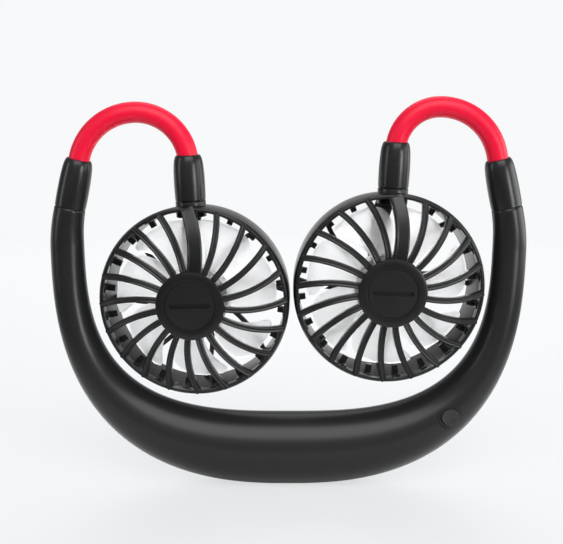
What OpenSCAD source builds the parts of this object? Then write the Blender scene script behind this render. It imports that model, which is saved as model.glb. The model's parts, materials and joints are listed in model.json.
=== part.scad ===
// Electric neck fan. A moulded U rests round the neck, and two bendable hoses
// each carry a caged fan head that swivels on its stem.
// +X is the wearer's left as the fan is seen from the front, -Y is the front,
// +Z is up. The origin is the middle of the small flat under the neckband.

/* [Neckband] */
// Width of each side of the neckband at its widest point
side_w = 12.6; // [11:0.1:15]
// Width of the neckband at the bottom, between its two outlines
bottom_w = 28.8; // [26:0.1:32]
// Height of the widest point over the lowest point of the outer outline
band_drop = 92.6; // [85:0.1:105]
// Gap between the right fan head and the arm beside it
arm_gap = 3.95; // [3:0.05:9]
// How much higher the inner outline's widest point lies than the outer one's
inner_lift = 4.8; // [2:0.1:8]
// Front to back thickness of the arms
arm_depth = 11.8; // [10.4:0.1:14]
// Wall of the moulded shells
shell_wall = 1.6; // [1.2:0.1:2]
// Height trimmed off the lowest point, which leaves the flat it stands on
foot_cut = 0.8; // [0.5:0.1:1]

/* [Arms and hoses] */
// Rise of an arm from the widest point to the collar's seam
arm_rise = 18; // [12:0.5:22]
// How far the arm's outer edge has come inward at the seam
arm_draw = 2.4; // [1:0.1:4]
// Width of an arm at the seam
arm_w = 11.5; // [10.4:0.1:12.4]
// Inward lean of the arm collars
arm_tilt = 12.9; // [8:0.1:18]
// Length of an arm collar from its seam to its mouth
arm_collar_l = 18.4; // [14:0.1:24]
// Diameter of the silicone hose sleeve
hose_d = 7.8; // [7:0.1:8.2]
// Straight stretch of the left hose over its arm collar
left_hose_straight = 0.1; // [0.1:0.1:6]
// How much of the left hose's reach inward its bend on the way up takes
left_rise_share = 0.53; // [0.5:0.001:0.65]
// Straight stretch of the right hose over its arm collar
right_hose_straight = 2.1; // [0.1:0.1:6]
// How much of the right hose's reach inward its bend on the way up takes
right_rise_share = 0.572; // [0.5:0.001:0.65]
// Outward lean of the fan stems
stem_lean = 2.6; // [0:0.1:6]
// Turn of the left fan head away from the middle
left_turn = 4.8; // [0:0.1:12]
// Turn of the right fan head away from the middle
right_turn = 2.8; // [0:0.1:12]

/* [Fan heads] */
// Outer diameter of a fan head
head_d = 72; // [66:0.2:76]
// Gap from the middle plane to the left fan head, negative where the head crosses it
left_head_gap = -1; // [-2:0.05:3]
// Gap from the middle plane to the right fan head
right_head_gap = 1.45; // [1.4:0.05:4]
// Least gap from a fan head down to the neckband, for which the hoses grow longer
head_lift = 8; // [5:0.5:11]
// Front to back length of the round casing
casing_l = 18; // [16:0.5:22]
// Number of front ribs, the wide one included
rib_count = 20; // [12:1:24]
// Width of a front rib
rib_w = 2.4; // [1.8:0.1:3]
// Width of the wide rib that carries the motor leads
wide_rib_w = 5.4; // [4:0.1:7]
// Twist of a front rib from the hub to the rim
rib_twist = 8.7; // [4:0.1:14]
// Diameter of the hub's face
hub_d = 25.6; // [25:0.2:28]
// How far the hub's face stands proud of the rim
hub_proud = 6.5; // [5.5:0.1:8]
// Diameter of the lid in the hub
lid_d = 18.5; // [17.6:0.1:19]
// Number of fan blades
blade_count = 7; // [5:1:9]
// Gap between the blade tips and the casing
tip_gap = 3.4; // [2:0.1:5]
// Number of rear ribs
rear_rib_count = 8; // [6:1:12]

/* [Battery and controls] */
// Diameter of the battery cell
cell_d = 18.3; // [16:0.1:18.4]
// Length of the battery cell
cell_l = 65; // [50:1:66]
// Room between the cell and the shells, to the front and the back
cell_room = 1.15; // [1:0.05:3]
// Diameter of the power button
button_d = 6.5; // [5.5:0.1:7]
// Travel of the power button
button_travel = 0.5; // [0.3:0.05:0.5]
// Place of the button along the neckband, from its right arm down
button_angle = 46.5; // [40:0.5:50]

/* [Hidden] */
$fn = 64;
overrun = 1;
seat_gap = 0.3;
slide_gap = 0.06;
plastic = "#2b2b2d";
silicone = "#e8304a";
steel = "#a8a8ac";
frosted = "#f2f4f5";
left = -1;
right = 1;

// The two fan heads fit between the arms
head_r = head_d / 2;
inner_w = 2 * (head_d + right_head_gap + arm_gap);
band_w = inner_w + 2 * side_w;
inner_drop = band_drop + inner_lift - bottom_w;
// Front to back thickness at the bottom, over the battery
bottom_depth = cell_d + 2 * (cell_room + shell_wall);

// Neckband outlines: superellipses below the widest points, drawn in arms above
outer_power = 2.5;
inner_power = 3;
widest_z = band_drop - foot_cut;
inner_z = widest_z + inner_lift;
turn_steps = 36;
arm_steps = 3;
depth_power = 1.2;
half_ring_steps = 10;
seam_out = [band_w / 2 - arm_draw, widest_z + arm_rise];
seam_in = seam_out - arm_w * [cos(arm_tilt), sin(arm_tilt)];
seam_mid = (seam_out + seam_in) / 2;

function reach(ang, w, drop, power) =
    pow(pow(abs(cos(ang)) / (w / 2), power) + pow(abs(sin(ang)) / drop, power), -1 / power);
function outer_at(ang) = [0, widest_z]
    + reach(ang, band_w, band_drop, outer_power) * [cos(ang), -sin(ang)];
function inner_at(ang) = [0, inner_z]
    + reach(ang, inner_w, inner_drop, inner_power) * [cos(ang), -sin(ang)];
function drawn_in(start, end, share) =
    [start.x + (end.x - start.x) * share * share, start.y + (end.y - start.y) * share];
// A station is the outer point, the inner point and half the depth
function turn_station(ang) = [outer_at(ang), inner_at(ang),
    arm_depth / 2 + (bottom_depth - arm_depth) / 2 * pow(sin(ang), depth_power)];
function arm_station(share) = [drawn_in([band_w / 2, widest_z], seam_out, share),
    drawn_in([inner_w / 2, inner_z], seam_in, share), arm_depth / 2];
function flipped(st) = [[-st[0].x, st[0].y], [-st[1].x, st[1].y], st[2]];
stations = [
    for (k = [0:arm_steps - 1]) arm_station(1 - k / arm_steps),
    for (k = [0:turn_steps]) turn_station(180 * k / turn_steps),
    for (k = [1:arm_steps]) flipped(arm_station(k / arm_steps))];
function middle(st) = (st[0] + st[1]) / 2;
function half_width(st) = norm(st[0] - st[1]) / 2;
// A point of the band: across is positive towards the outer edge, y is front to back
function band_point(st, across, y) = let (p = middle(st) + (st[0] - st[1]) / 2 / half_width(st) * across)
    [p.x, y, p.y];

// Fan collar and neck, measured up the stem from the head's centre
neck_rise = 1.1;
neck_top = head_r + neck_rise;
fan_collar_l = 16.9;
fan_collar_z = neck_top + seat_gap;
collar_mouth = fan_collar_z + fan_collar_l;
hose_entry = 5;
hose_insert = 2.6;
stem_l = collar_mouth - hose_insert;

// Hose routes, with u the distance out from the middle plane. A hose rises from the arm collar's
// tip, straight and then in a bend, and falls in a second bend to the end over the fan head.
tip = seam_mid + arm_collar_l * [-sin(arm_tilt), cos(arm_tilt)];
function head_u(s) = head_r + (s < 0 ? left_head_gap : right_head_gap);
function head_turn(s) = s * (s < 0 ? left_turn : right_turn);
function rise_share(s) = s < 0 ? left_rise_share : right_rise_share;
function set_straight(s) = s < 0 ? left_hose_straight : right_hose_straight;
function bends_w(s, straight) = tip.x - straight * sin(arm_tilt) - head_u(s) - stem_l * sin(stem_lean);
function bent_rise(s, straight) = bends_w(s, straight) * (
    rise_share(s) * (1 - sin(arm_tilt)) / cos(arm_tilt)
    - (1 - rise_share(s)) * (1 - sin(stem_lean)) / cos(stem_lean));
function set_low(s) = tip.y + set_straight(s) * cos(arm_tilt) + bent_rise(s, set_straight(s))
    - stem_l * cos(stem_lean) - head_r;
function straight_l(s) = set_straight(s)
    + max(0, bottom_w - foot_cut + head_lift - set_low(s)) / cos(arm_tilt);
function rise_r(s) = bends_w(s, straight_l(s)) * rise_share(s) / cos(arm_tilt);
function fall_r(s) = bends_w(s, straight_l(s)) * (1 - rise_share(s)) / cos(stem_lean);
function rise_centre(s) = tip + straight_l(s) * [-sin(arm_tilt), cos(arm_tilt)]
    - rise_r(s) * [cos(arm_tilt), sin(arm_tilt)];
function fall_centre(s) = rise_centre(s) + [0, rise_r(s) - fall_r(s)];
function hose_end(s) = fall_centre(s) + fall_r(s) * [-cos(stem_lean), sin(stem_lean)];
function insert_angle(s) = hose_insert / fall_r(s) * 180 / PI;
function head_centre(s) = hose_end(s) - stem_l * [sin(stem_lean), cos(stem_lean)];

module side(s) {
    if (s < 0) mirror([1, 0, 0]) children();
    else children();
}

// Stem frame: z runs up the stem from the head's centre
module on_stem(s) {
    c = head_centre(s);
    translate([s * c.x, 0, c.y]) rotate([0, s * stem_lean, 0]) children();
}

// Face frame: x right, y up the stem, z out of the fan's face
module on_face(s) on_stem(s) rotate([0, 0, head_turn(s)]) rotate([90, 0, 0]) children();

// Arm frame: z runs up the collar from the middle of the seam
module on_arm() translate([seam_mid.x, 0, seam_mid.y]) rotate([0, -arm_tilt, 0]) children();

function unit(v) = v / norm(v);
function mix(a, b, share) = a + (b - a) * share;
function reversed(list) = [for (k = [len(list) - 1:-1:0]) list[k]];

// A skin over rings that each have the same even number of points. It ends in two caps,
// each a strip between the ring's two halves, or runs on to the first ring where it is closed.
module ring_solid(rings, closed = false) {
    n = len(rings[0]);
    m = len(rings);
    points = [for (ring = rings) each ring];
    skin = [for (k = [0:closed ? m - 1 : m - 2]) for (j = [0:n - 1])
        let (a = k * n + j, b = k * n + (j + 1) % n,
            c = (k + 1) % m * n + j, d = (k + 1) % m * n + (j + 1) % n)
        each [[a, b, c], [b, d, c]]];
    caps = closed ? [] : [for (j = [0:n / 2 - 2]) let (
        back = n - 1 - j, from = (m - 1) * n)
        each [[j, back, j + 1], [j + 1, back, back - 1],
            [from + j, from + j + 1, from + back], [from + j + 1, from + back - 1, from + back]]];
    polyhedron(points, concat(skin, caps));
}

// Rings round a row of points, square to the way on, and the last one square to way_out
function tube_rings(pts, d, sides, way_out = undef) = let (last = len(pts) - 1)
    [for (k = [0:last]) let (
        way = k == last && !is_undef(way_out) ? way_out
            : unit(pts[min(k + 1, last)] - pts[max(k - 1, 0)]),
        side_on = unit(cross(way, abs(way.y) > 0.9 ? [1, 0, 0] : [0, 1, 0])),
        up = cross(side_on, way))
        [for (j = [0:sides - 1]) let (a = 360 * j / sides)
            pts[k] + d / 2 * (cos(a) * side_on + sin(a) * up)]];
module rod(pts, d, sides, way_out = undef) ring_solid(tube_rings(pts, d, sides, way_out));
module tube(pts, d, bore, sides, way_out) ring_solid(concat(tube_rings(pts, d, sides, way_out),
    reversed(tube_rings(pts, bore, sides, way_out))), true);

function half_ring(st, inset, facing) = let (w = half_width(st) - inset, d = st[2] - inset)
    [for (k = [0:half_ring_steps]) let (a = 180 * k / half_ring_steps)
        band_point(st, w * cos(a), facing * d * sin(a))];

// One half shell: outer skin, inner skin and the flat rim between the halves
module half_shell(facing) {
    rings = [for (st = stations) let (
        loop = concat(half_ring(st, 0, facing), reversed(half_ring(st, shell_wall, facing))))
        facing < 0 ? reversed(loop) : loop];
    ring_solid(rings);
}

// Places of the housing screws: angle along the band and offset across it
screw_across = 1.3;
screw_angles = [12, 62, 118, 168];
screw_across_shares = [1, 0, 0, 1];
screw_places = [for (k = [0:len(screw_angles) - 1])
    [screw_angles[k], screw_across * screw_across_shares[k]]];
screw_shank_d = 1.9;
screw_head_d = 3.4;
screw_head_l = 1.5;
screw_sink = 1.2;
screw_l = 7;
boss_wall = 1.2;
boss_inset = 0.8;
pilot_gap = 0.1;
pilot_d = screw_shank_d + 2 * pilot_gap;
boss_d = pilot_d + 2 * boss_wall;
head_hole_d = screw_head_d + 2 * seat_gap;
function screw_st(place) = turn_station(place[0]);
// A screw ends in the front shell's boss, short of the shell's outer skin
function screw_end(place) = min(screw_l - overrun, screw_st(place)[2] - shell_wall);
// Depth of the skin under a screw head's rim
function skin_at(st, across) = st[2] * sqrt(1 - pow(across / half_width(st), 2));
function head_seat(place) = skin_at(screw_st(place), head_hole_d / 2 + abs(place[1]))
    - screw_sink - screw_head_l;

module at_screws() {
    for (place = screw_places) translate(band_point(screw_st(place), place[1], 0)) children();
}

// Battery cell and its saddles
cell_z = 15;
cell_gap = 0.2;
saddle_t = 1.2;
saddle_share = 0.34;
saddle_reach = 8;

module cell_saddles(facing) {
    bottom = turn_station(90);
    for (x = [-1, 1] * cell_l * saddle_share)
        translate([x - saddle_t / 2, 0, cell_z])
            rotate([0, 90, 0])
                difference() {
                    linear_extrude(saddle_t) intersection() {
                        translate([-saddle_reach, facing > 0 ? 0 : -bottom_depth])
                            square([2 * saddle_reach, bottom_depth]);
                        circle(r = bottom[2] - shell_wall / 2);
                    }
                    translate([0, 0, -overrun])
                        cylinder(d = cell_d + 2 * cell_gap, h = saddle_t + 2 * overrun);
                }
}

module foot_trim() {
    translate([-band_w / 2, -bottom_depth, -band_drop])
        cube([band_w, 2 * bottom_depth, band_drop]);
}

// Power button, with y the depth in the band
button_st = turn_station(button_angle);
button_spot = band_point(button_st, 0, 0);
button_proud = 0.5;
button_flange_reach = 1.05;
button_flange_d = button_d + 2 * button_flange_reach;
button_flange_t = 1;
button_seat_sink = 0.6;
button_seat = button_st[2] - shell_wall - button_seat_sink;
button_groove_d = 9.4;
button_groove_w = 0.5;
button_stem_d = 3;
flange_front = button_seat - seat_gap;
board_t = 1.2;
switch_w = 6;
switch_h = 3.4;
plunger_d = 3.4;
plunger_h = 0.8;
board_front = flange_front - button_flange_t - button_travel - plunger_h - switch_h;
switch_top = board_front + switch_h;
plunger_top = switch_top + plunger_h;

// Board
board_above_angle = 12;
board_below_angle = 12.5;
board_gap = 0.4;
board_steps = 6;
board_lean = 4;
board_turn = 90 - button_angle - board_lean;
post_d = 3;
post_turn = 7;

// Charging socket at the back
socket_w = 8.9;
socket_h = 3.2;
socket_wall = 0.3;
socket_gap = 0.15;
tongue_w = 6.6;
tongue_t = 0.7;
socket_shift = -3;
socket_inset = 0.6;

// The board's outline keeps clear of the shells' inner skin, and of the cell
function board_edge(k, side_share) = let (
    st = turn_station(button_angle + mix(-board_above_angle, board_below_angle, k / board_steps)),
    half = (half_width(st) - shell_wall) * sqrt(1 - pow(board_front / (st[2] - shell_wall), 2)),
    p = band_point(st, side_share * (half - board_gap), 0))
    [p.x, p.z];

// Board frame: x along the band, y across it, z to the front, zero on the board's front face
module on_board() {
    translate([button_spot.x, -board_front, button_spot.z])
        rotate([90, 0, 0]) rotate([0, 0, board_turn]) children();
}

module slot_round(w, h, l) {
    linear_extrude(l) {
        square([w - h, h], center = true);
        for (x = [-1, 1] * (w - h) / 2) translate([x, 0]) circle(d = h);
    }
}

board_back_y = board_t - board_front;
board_st_rear = turn_station(button_angle)[2];
socket_l = board_st_rear - board_back_y - socket_inset;

module board_posts() {
    for (a = [-1, 1] * post_turn) let (st = turn_station(button_angle + a))
        translate(band_point(st, 0, board_back_y)) rotate([-90, 0, 0])
            cylinder(d = post_d, h = st[2] - shell_wall / 2 - board_back_y);
}

module front_shell() color(plastic) {
    difference() {
        union() {
            half_shell(-1);
            for (place = screw_places) let (st = screw_st(place))
                translate(band_point(st, place[1], 0)) rotate([90, 0, 0])
                    cylinder(d = boss_d, h = st[2] - boss_inset);
            cell_saddles(-1);
        }
        foot_trim();
        for (place = screw_places)
            translate(band_point(screw_st(place), place[1], overrun)) rotate([90, 0, 0])
                cylinder(d = pilot_d, h = screw_end(place) + pilot_gap + overrun);
        translate(button_spot) rotate([90, 0, 0]) {
            cylinder(d = button_d + 2 * slide_gap, h = bottom_depth);
            cylinder(d = button_flange_d + 2 * seat_gap, h = button_seat);
            translate([0, 0, skin_at(button_st, button_groove_d / 2) - button_groove_w / 2])
                difference() {
                    cylinder(d = button_groove_d, h = bottom_depth);
                    translate([0, 0, -overrun]) cylinder(d = button_groove_d - 2 * button_groove_w,
                        h = bottom_depth + 2 * overrun);
                }
        }
    }
}

module rear_shell() color(plastic) {
    difference() {
        union() {
            half_shell(1);
            for (place = screw_places) let (st = screw_st(place))
                translate(band_point(st, place[1], 0)) rotate([-90, 0, 0])
                    cylinder(d = head_hole_d + 2 * boss_wall, h = head_seat(place) + screw_sink);
            cell_saddles(1);
            board_posts();
        }
        foot_trim();
        at_screws() rotate([-90, 0, 0]) translate([0, 0, -overrun])
            cylinder(d = pilot_d, h = bottom_depth);
        for (place = screw_places)
            translate(band_point(screw_st(place), place[1], head_seat(place))) rotate([-90, 0, 0])
                cylinder(d = head_hole_d, h = bottom_depth);
        on_board() translate([socket_shift, 0, -board_t - socket_l - bottom_depth])
            slot_round(socket_w + 2 * socket_gap, socket_h + 2 * socket_gap, socket_l + bottom_depth);
    }
}

module housing_screws() color(steel) {
    for (place = screw_places)
        translate(band_point(screw_st(place), place[1], head_seat(place))) rotate([-90, 0, 0]) {
            difference() {
                cylinder(d = screw_head_d, h = screw_head_l);
                for (a = [0, 90]) rotate(a)
                    translate([-screw_shank_d / 2, -screw_shank_d / 8, screw_head_l / 2])
                        cube([screw_shank_d, screw_shank_d / 4, screw_head_l]);
            }
            translate([0, 0, -head_seat(place) - screw_end(place)])
                cylinder(d = screw_shank_d, h = head_seat(place) + screw_end(place) + screw_head_l / 2);
        }
}

cell_cap_t = 0.6;
cell_nub_d = 6;

module battery_cell() {
    translate([-cell_l / 2, 0, cell_z]) rotate([0, 90, 0]) {
        color("#3f7fb5") cylinder(d = cell_d, h = cell_l - cell_cap_t);
        color(steel) cylinder(d = cell_nub_d, h = cell_l);
    }
}

module control_board() color("#1f6b3c") {
    translate([0, board_back_y, 0]) rotate([90, 0, 0]) linear_extrude(board_t)
        polygon(concat([for (k = [0:board_steps]) board_edge(k, 1)],
            [for (k = [board_steps:-1:0]) board_edge(k, -1)]));
}

module usb_port() color(steel) {
    on_board() translate([socket_shift, 0, -board_t - socket_l]) {
        difference() {
            slot_round(socket_w, socket_h, socket_l);
            translate([0, 0, -overrun])
                slot_round(socket_w - 2 * socket_wall, socket_h - 2 * socket_wall,
                    socket_l - board_t + overrun);
        }
        translate([-tongue_w / 2, -tongue_t / 2, board_t])
            cube([tongue_w, tongue_t, socket_l - 2 * board_t]);
    }
}

module tact_switch() color(plastic) {
    on_board() difference() {
        translate([-switch_w / 2, -switch_w / 2, 0]) cube([switch_w, switch_w, switch_h]);
        translate([0, 0, switch_h / 3])
            cylinder(d = plunger_d + 2 * slide_gap, h = switch_h);
    }
}

module switch_plunger() color("#d9d2c0") {
    plunger_root = switch_h / 3 + button_travel + seat_gap / 2;
    on_board() translate([0, 0, plunger_root])
        cylinder(d = plunger_d, h = switch_h + plunger_h - plunger_root);
}

module power_button() color(plastic) {
    translate(button_spot) rotate([90, 0, 0]) {
        translate([0, 0, plunger_top]) cylinder(d = button_stem_d, h = flange_front - plunger_top);
        translate([0, 0, flange_front - button_flange_t])
            cylinder(d = button_flange_d, h = button_flange_t);
        translate([0, 0, flange_front])
            cylinder(d = button_d, h = button_st[2] + button_proud - flange_front);
    }
}

// Collars
core_d = 3.6;
core_bore_d = 2;
core_gap = 0.05;
ball_d = 4;
ball_gap = 0.3;
sleeve_bore_d = 4.4;
socket_d = hose_d + 2 * seat_gap;
mouth_wall = 0.3;
arm_shoulder_share = 0.9;
fan_shoulder_share = 0.92;
bend_steps = 8;
core_sides = 12;
sleeve_sides = 16;
spigot_l = 6;
spigot_gap = 0.3;
arm_bore_d = arm_depth - 2 * shell_wall;

module arm_collar() color(plastic) {
    top_r = socket_d / 2 + mouth_wall;
    low_r = arm_w / 2;
    shoulder_r = arm_shoulder_share * low_r;
    on_arm() {
        difference() {
            rotate_extrude() polygon([[0, -spigot_l], [arm_bore_d / 2 - spigot_gap, -spigot_l],
                [arm_bore_d / 2 - spigot_gap, 0], [low_r, 0], [low_r, arm_collar_l / 4],
                [(low_r + shoulder_r) / 2 + mouth_wall, arm_collar_l / 2],
                [shoulder_r, arm_collar_l * 7 / 8], [top_r + mouth_wall, arm_collar_l - mouth_wall],
                [top_r, arm_collar_l], [0, arm_collar_l]]);
            translate([0, 0, -spigot_l - overrun])
                cylinder(d = core_d + 2 * core_gap, h = arm_collar_l + spigot_l + 2 * overrun);
            translate([0, 0, arm_collar_l - hose_entry - seat_gap])
                cylinder(d = socket_d, h = hose_entry + seat_gap + overrun);
        }
    }
}

module gooseneck_root() color(steel) {
    end = arm_collar_l - ball_d / 2 - ball_gap;
    on_arm() difference() {
        translate([0, 0, -spigot_l]) cylinder(d = core_d, h = end + spigot_l);
        translate([0, 0, -spigot_l - overrun])
            cylinder(d = core_bore_d, h = end + spigot_l + 2 * overrun);
    }
}

function arm_point(z) = let (p = seam_mid + z * [-sin(arm_tilt), cos(arm_tilt)]) [p.x, 0, p.y];
function arc_points(centre, r, from, to) = [for (k = [1:bend_steps])
    let (a = from + (to - from) * k / bend_steps) [centre.x + r * cos(a), 0, centre.y + r * sin(a)]];
// Middle of the hose over the arm collar, to an angle left off the end of the falling arc
function hose_points(s, stop) = concat([arm_point(arm_collar_l)],
    arc_points(rise_centre(s), rise_r(s), arm_tilt, 90),
    arc_points(fall_centre(s), fall_r(s), 90, 180 - stem_lean - stop));
function nod_point(s) = hose_points(s, insert_angle(s))[2 * bend_steps];

module gooseneck(s) color(steel) side(s) {
    route = hose_points(s, insert_angle(s));
    difference() {
        union() {
            rod(route, core_d, core_sides);
            for (p = [route[0], nod_point(s)]) translate(p) sphere(d = ball_d);
        }
        rod(concat([arm_point(arm_collar_l - ball_d)], route, [hose_points(s, 0)[2 * bend_steps]]),
            core_bore_d, core_sides);
    }
}

module hose_sleeve(s) color(silicone) side(s)
    tube(concat([arm_point(arm_collar_l - hose_entry)], hose_points(s, 0)),
        hose_d, sleeve_bore_d, sleeve_sides, [-sin(stem_lean), 0, -cos(stem_lean)]);

// Neck: the collar's flanged spigot turns in a cage that the two casing halves close
spigot_d = 6.8;
flange_d = 9;
flange_t = 1.6;
plate_t = 1.7;
neck_d = 11.4;
neck_floor_t = 1.9;
lead_d = 1;
lead_hole_d = 2.2;
lead_gap = 0.3;
flange_top = neck_top - plate_t - seat_gap;
cage_low = flange_top - flange_t - seat_gap;
lead_turn = cage_low - lead_d / 2 - slide_gap;
tip_l = 7;

module fan_collar(s) color(plastic) {
    top_r = socket_d / 2 + mouth_wall;
    low_r = neck_d / 2;
    shoulder_r = fan_shoulder_share * low_r;
    on_stem(s) difference() {
        union() {
            rotate_extrude() polygon([[0, fan_collar_z], [low_r, fan_collar_z],
                [low_r, fan_collar_z + fan_collar_l / 2],
                [shoulder_r, fan_collar_z + fan_collar_l * 7 / 8],
                [top_r + mouth_wall, collar_mouth - mouth_wall],
                [top_r, collar_mouth], [0, collar_mouth]]);
            translate([0, 0, flange_top - overrun / 2])
                cylinder(d = spigot_d, h = fan_collar_z - flange_top + overrun);
            translate([0, 0, flange_top - flange_t]) cylinder(d = flange_d, h = flange_t);
        }
        translate([0, 0, stem_l - seat_gap])
            cylinder(d = socket_d, h = hose_insert + seat_gap + overrun);
        translate([0, 0, stem_l - tip_l]) cylinder(d = core_d + 2 * core_gap, h = tip_l);
        translate([0, 0, flange_top - flange_t - overrun])
            cylinder(d = lead_hole_d, h = stem_l - flange_top + flange_t);
    }
}

module gooseneck_tip(s) color(steel) {
    on_stem(s) difference() {
        translate([0, 0, stem_l - tip_l]) cylinder(d = core_d, h = tip_l + ball_gap);
        translate([0, 0, stem_l - tip_l - overrun])
            cylinder(d = core_bore_d, h = tip_l + ball_gap + 2 * overrun);
    }
}

// Fan head, in its face frame
casing_wall = 1.9;
rim_bevel = 0.8;
casing_draft = 0.9;
rim_l = 4;
rim_front = casing_l / 2;
split_z = rim_front - rim_l;
casing_rear = -casing_l / 2;
hub_front = rim_front + hub_proud;
lid_t = 2;
lid_drop = 0.2;
ledge_t = 1.2;
boss_r = 7.4;
lug_reach = 1.1;
lug_t = 1;
lug_angle = 30;
lug_play_angle = 4;
lug_count = 2;
lid_turn = 40;
chamber_r = 10;
pad_t = 1.3;
pad_r = 7;
partition_t = 1;
ledge_front = hub_front - lid_drop - lid_t;
chamber_front = ledge_front - ledge_t;
lug_front = chamber_front - seat_gap;
chamber_back = lug_front - lug_t - pad_t - seat_gap;
motor_front = chamber_back - partition_t;
motor_r = 10;
motor_l = 11;
motor_skirt_l = 3;
bush_r = 3;
bush_l = 0.8;
shaft_d = 2;
motor_back = motor_front - motor_l;
hub_skirt_back = motor_front - motor_skirt_l;

// Circle through three points: centre, and the sweep from the first to the last
function circle_centre(a, b, c) = let (
    u = b - a, v = c - a, n = cross(u, v))
    a + (cross(n, u) * (v * v) + cross(v, n) * (u * u)) / (2 * (n * n));

// A rib bent along the circle through three points, with its ridge to the front
module bent_rib(a, b, c, w, depth) {
    m = circle_centre(a, b, c);
    normal = unit(cross(b - a, c - a));
    along = unit(a - m);
    side_on = cross(normal, along);
    arc = acos(unit(a - m) * unit(c - m));
    out_mid = unit(b - m);
    lean = atan2(normal.z, out_mid.z);
    multmatrix([
        [along.x, side_on.x, normal.x, m.x],
        [along.y, side_on.y, normal.y, m.y],
        [along.z, side_on.z, normal.z, m.z],
        [0, 0, 0, 1]])
        rotate_extrude(angle = arc) translate([norm(a - m), 0]) rotate(lean - 90)
            polygon([[-w / 2, -depth / 2], [w / 2, -depth / 2], [w / 2, depth / 4],
                [w / 6, depth / 2], [-w / 6, depth / 2], [-w / 2, depth / 4]]);
}

function polar(r, ang, z) = [r * cos(ang), r * sin(ang), z];

rib_depth = 2.6;
rib_root_drop = 3;
rib_mid_rise = 2.7;
rib_end_drop = 0.9;
rib_root_sink = 1;
rib_root_z = hub_front - rib_root_drop;
rib_mid_z = rim_front + rib_mid_rise;
rib_end_z = rim_front - rib_end_drop;
rib_mid_share = 0.5;
rib_mid_twist_share = 0.3;
rib_root_r = hub_d / 2 - rib_root_sink;
rib_end_r = head_r - casing_wall / 2;

// Ribs are counted round from the neck, where the wide one ends
module front_ribs() {
    mid_r = rib_root_r + (rib_end_r - rib_root_r) * rib_mid_share;
    for (k = [0:rib_count - 1]) {
        ang = 90 + 360 / rib_count * k;
        bent_rib(polar(rib_root_r, ang - rib_twist, rib_root_z),
            polar(mid_r, ang - rib_twist * (1 - rib_mid_twist_share), rib_mid_z),
            polar(rib_end_r, ang, rib_end_z),
            k == 0 ? wide_rib_w : rib_w, rib_depth);
    }
}

tab_count = 12;
tab_w = 3;
tab_t = 1.6;
tab_l = 3.5;
tab_end = split_z - tab_l - overrun;
neck_half_angle = asin(neck_d / 2 / (head_r - casing_wall));

module neck_block() {
    translate([0, cage_low - neck_floor_t, 0]) rotate([-90, 0, 0])
        cylinder(d = neck_d, h = neck_top - cage_low + neck_floor_t);
}

module neck_bores() {
    rotate([-90, 0, 0]) {
        translate([0, 0, cage_low]) cylinder(d = flange_d + 2 * seat_gap,
            h = flange_top - cage_low + seat_gap);
        translate([0, 0, cage_low]) cylinder(d = spigot_d + 2 * slide_gap,
            h = neck_top - cage_low + overrun);
        translate([0, 0, cage_low - neck_floor_t - overrun])
            cylinder(d = lead_hole_d, h = neck_floor_t + 2 * overrun);
    }
}

module front_half() translate([-head_r, 0, 0]) cube([head_d, head_d, head_d]);

// The lid's bayonet: a boss with lugs that turn under the ledge
module bayonet(boss, reach_out, arc, t) {
    cylinder(r = boss, h = t);
    for (k = [0:lug_count - 1]) rotate(360 / lug_count * k - arc / 2)
        rotate_extrude(angle = arc) square([boss + reach_out, t]);
}

module front_grille(s) color(plastic) on_face(s) {
    difference() {
        union() {
            rotate_extrude() polygon([[head_r - casing_wall, split_z], [head_r, split_z],
                [head_r, rim_front - 2 * rim_bevel], [head_r - rim_bevel, rim_front],
                [head_r - casing_wall, rim_front]]);
            translate([0, 0, hub_skirt_back])
                cylinder(r = hub_d / 2, h = hub_front - hub_skirt_back);
            front_ribs();
            for (k = [0:tab_count - 1]) rotate(360 / tab_count * (k + 0.5))
                translate([head_r - casing_wall - tab_t, -tab_w / 2, split_z - tab_l])
                    cube([tab_t + rim_bevel, tab_w, tab_l + rim_l / 2]);
            intersection() {
                neck_block();
                front_half();
            }
        }
        intersection() {
            rotate_extrude() polygon([[casing_bore(tab_end) - slide_gap, tab_end],
                [head_d, tab_end], [head_d, split_z], [casing_bore(split_z) - slide_gap, split_z]]);
            rotate(90 + neck_half_angle) rotate_extrude(angle = 360 - 2 * neck_half_angle)
                translate([0, tab_end - overrun]) square([head_d, tab_l + 3 * overrun]);
        }
        neck_bores();
        hub_hollows();
        lead_channel();
    }
}

module hub_hollows() {
    translate([0, 0, ledge_front]) cylinder(d = lid_d + 2 * slide_gap, h = lid_t + lid_drop + overrun);
    translate([0, 0, chamber_front - overrun / 2])
        rotate(lid_turn)
            bayonet(boss_r + seat_gap, lug_reach, lug_angle + lug_play_angle, ledge_t + overrun);
    translate([0, 0, chamber_back]) cylinder(r = chamber_r, h = chamber_front - chamber_back);
    translate([0, 0, hub_skirt_back - overrun])
        cylinder(r = motor_r + core_gap, h = motor_skirt_l + overrun);
}

lead_drop = 1.4;
lead_level = motor_front - lead_drop;
module lead_channel() {
    rotate(90 - rib_twist) translate([motor_r - overrun, 0, lead_level]) rotate([0, 90, 0])
        cylinder(d = lead_d + 2 * lead_gap, h = hub_d / 2 - motor_r + 2 * overrun);
    translate([0, lead_turn, 0]) cylinder(d = lead_d + 2 * lead_gap, h = rib_end_z - rib_depth / 2);
}

// Radius of the casing's bore, which tapers to the rear
function casing_bore(z) = head_r - casing_wall
    - casing_draft * (split_z - z) / (split_z - casing_rear);

module casing_tube() {
    rotate_extrude() polygon([
        [head_r - casing_draft - casing_wall, casing_rear], [head_r - casing_draft, casing_rear],
        [head_r, split_z], [head_r - casing_wall, split_z]]);
}

rear_hub_r = 9;
rear_hub_t = 1.6;
rear_rib_w = 1.8;
rear_rib_depth = 1.6;
rear_bulge = 2;
rear_arm_w = 7;

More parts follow.
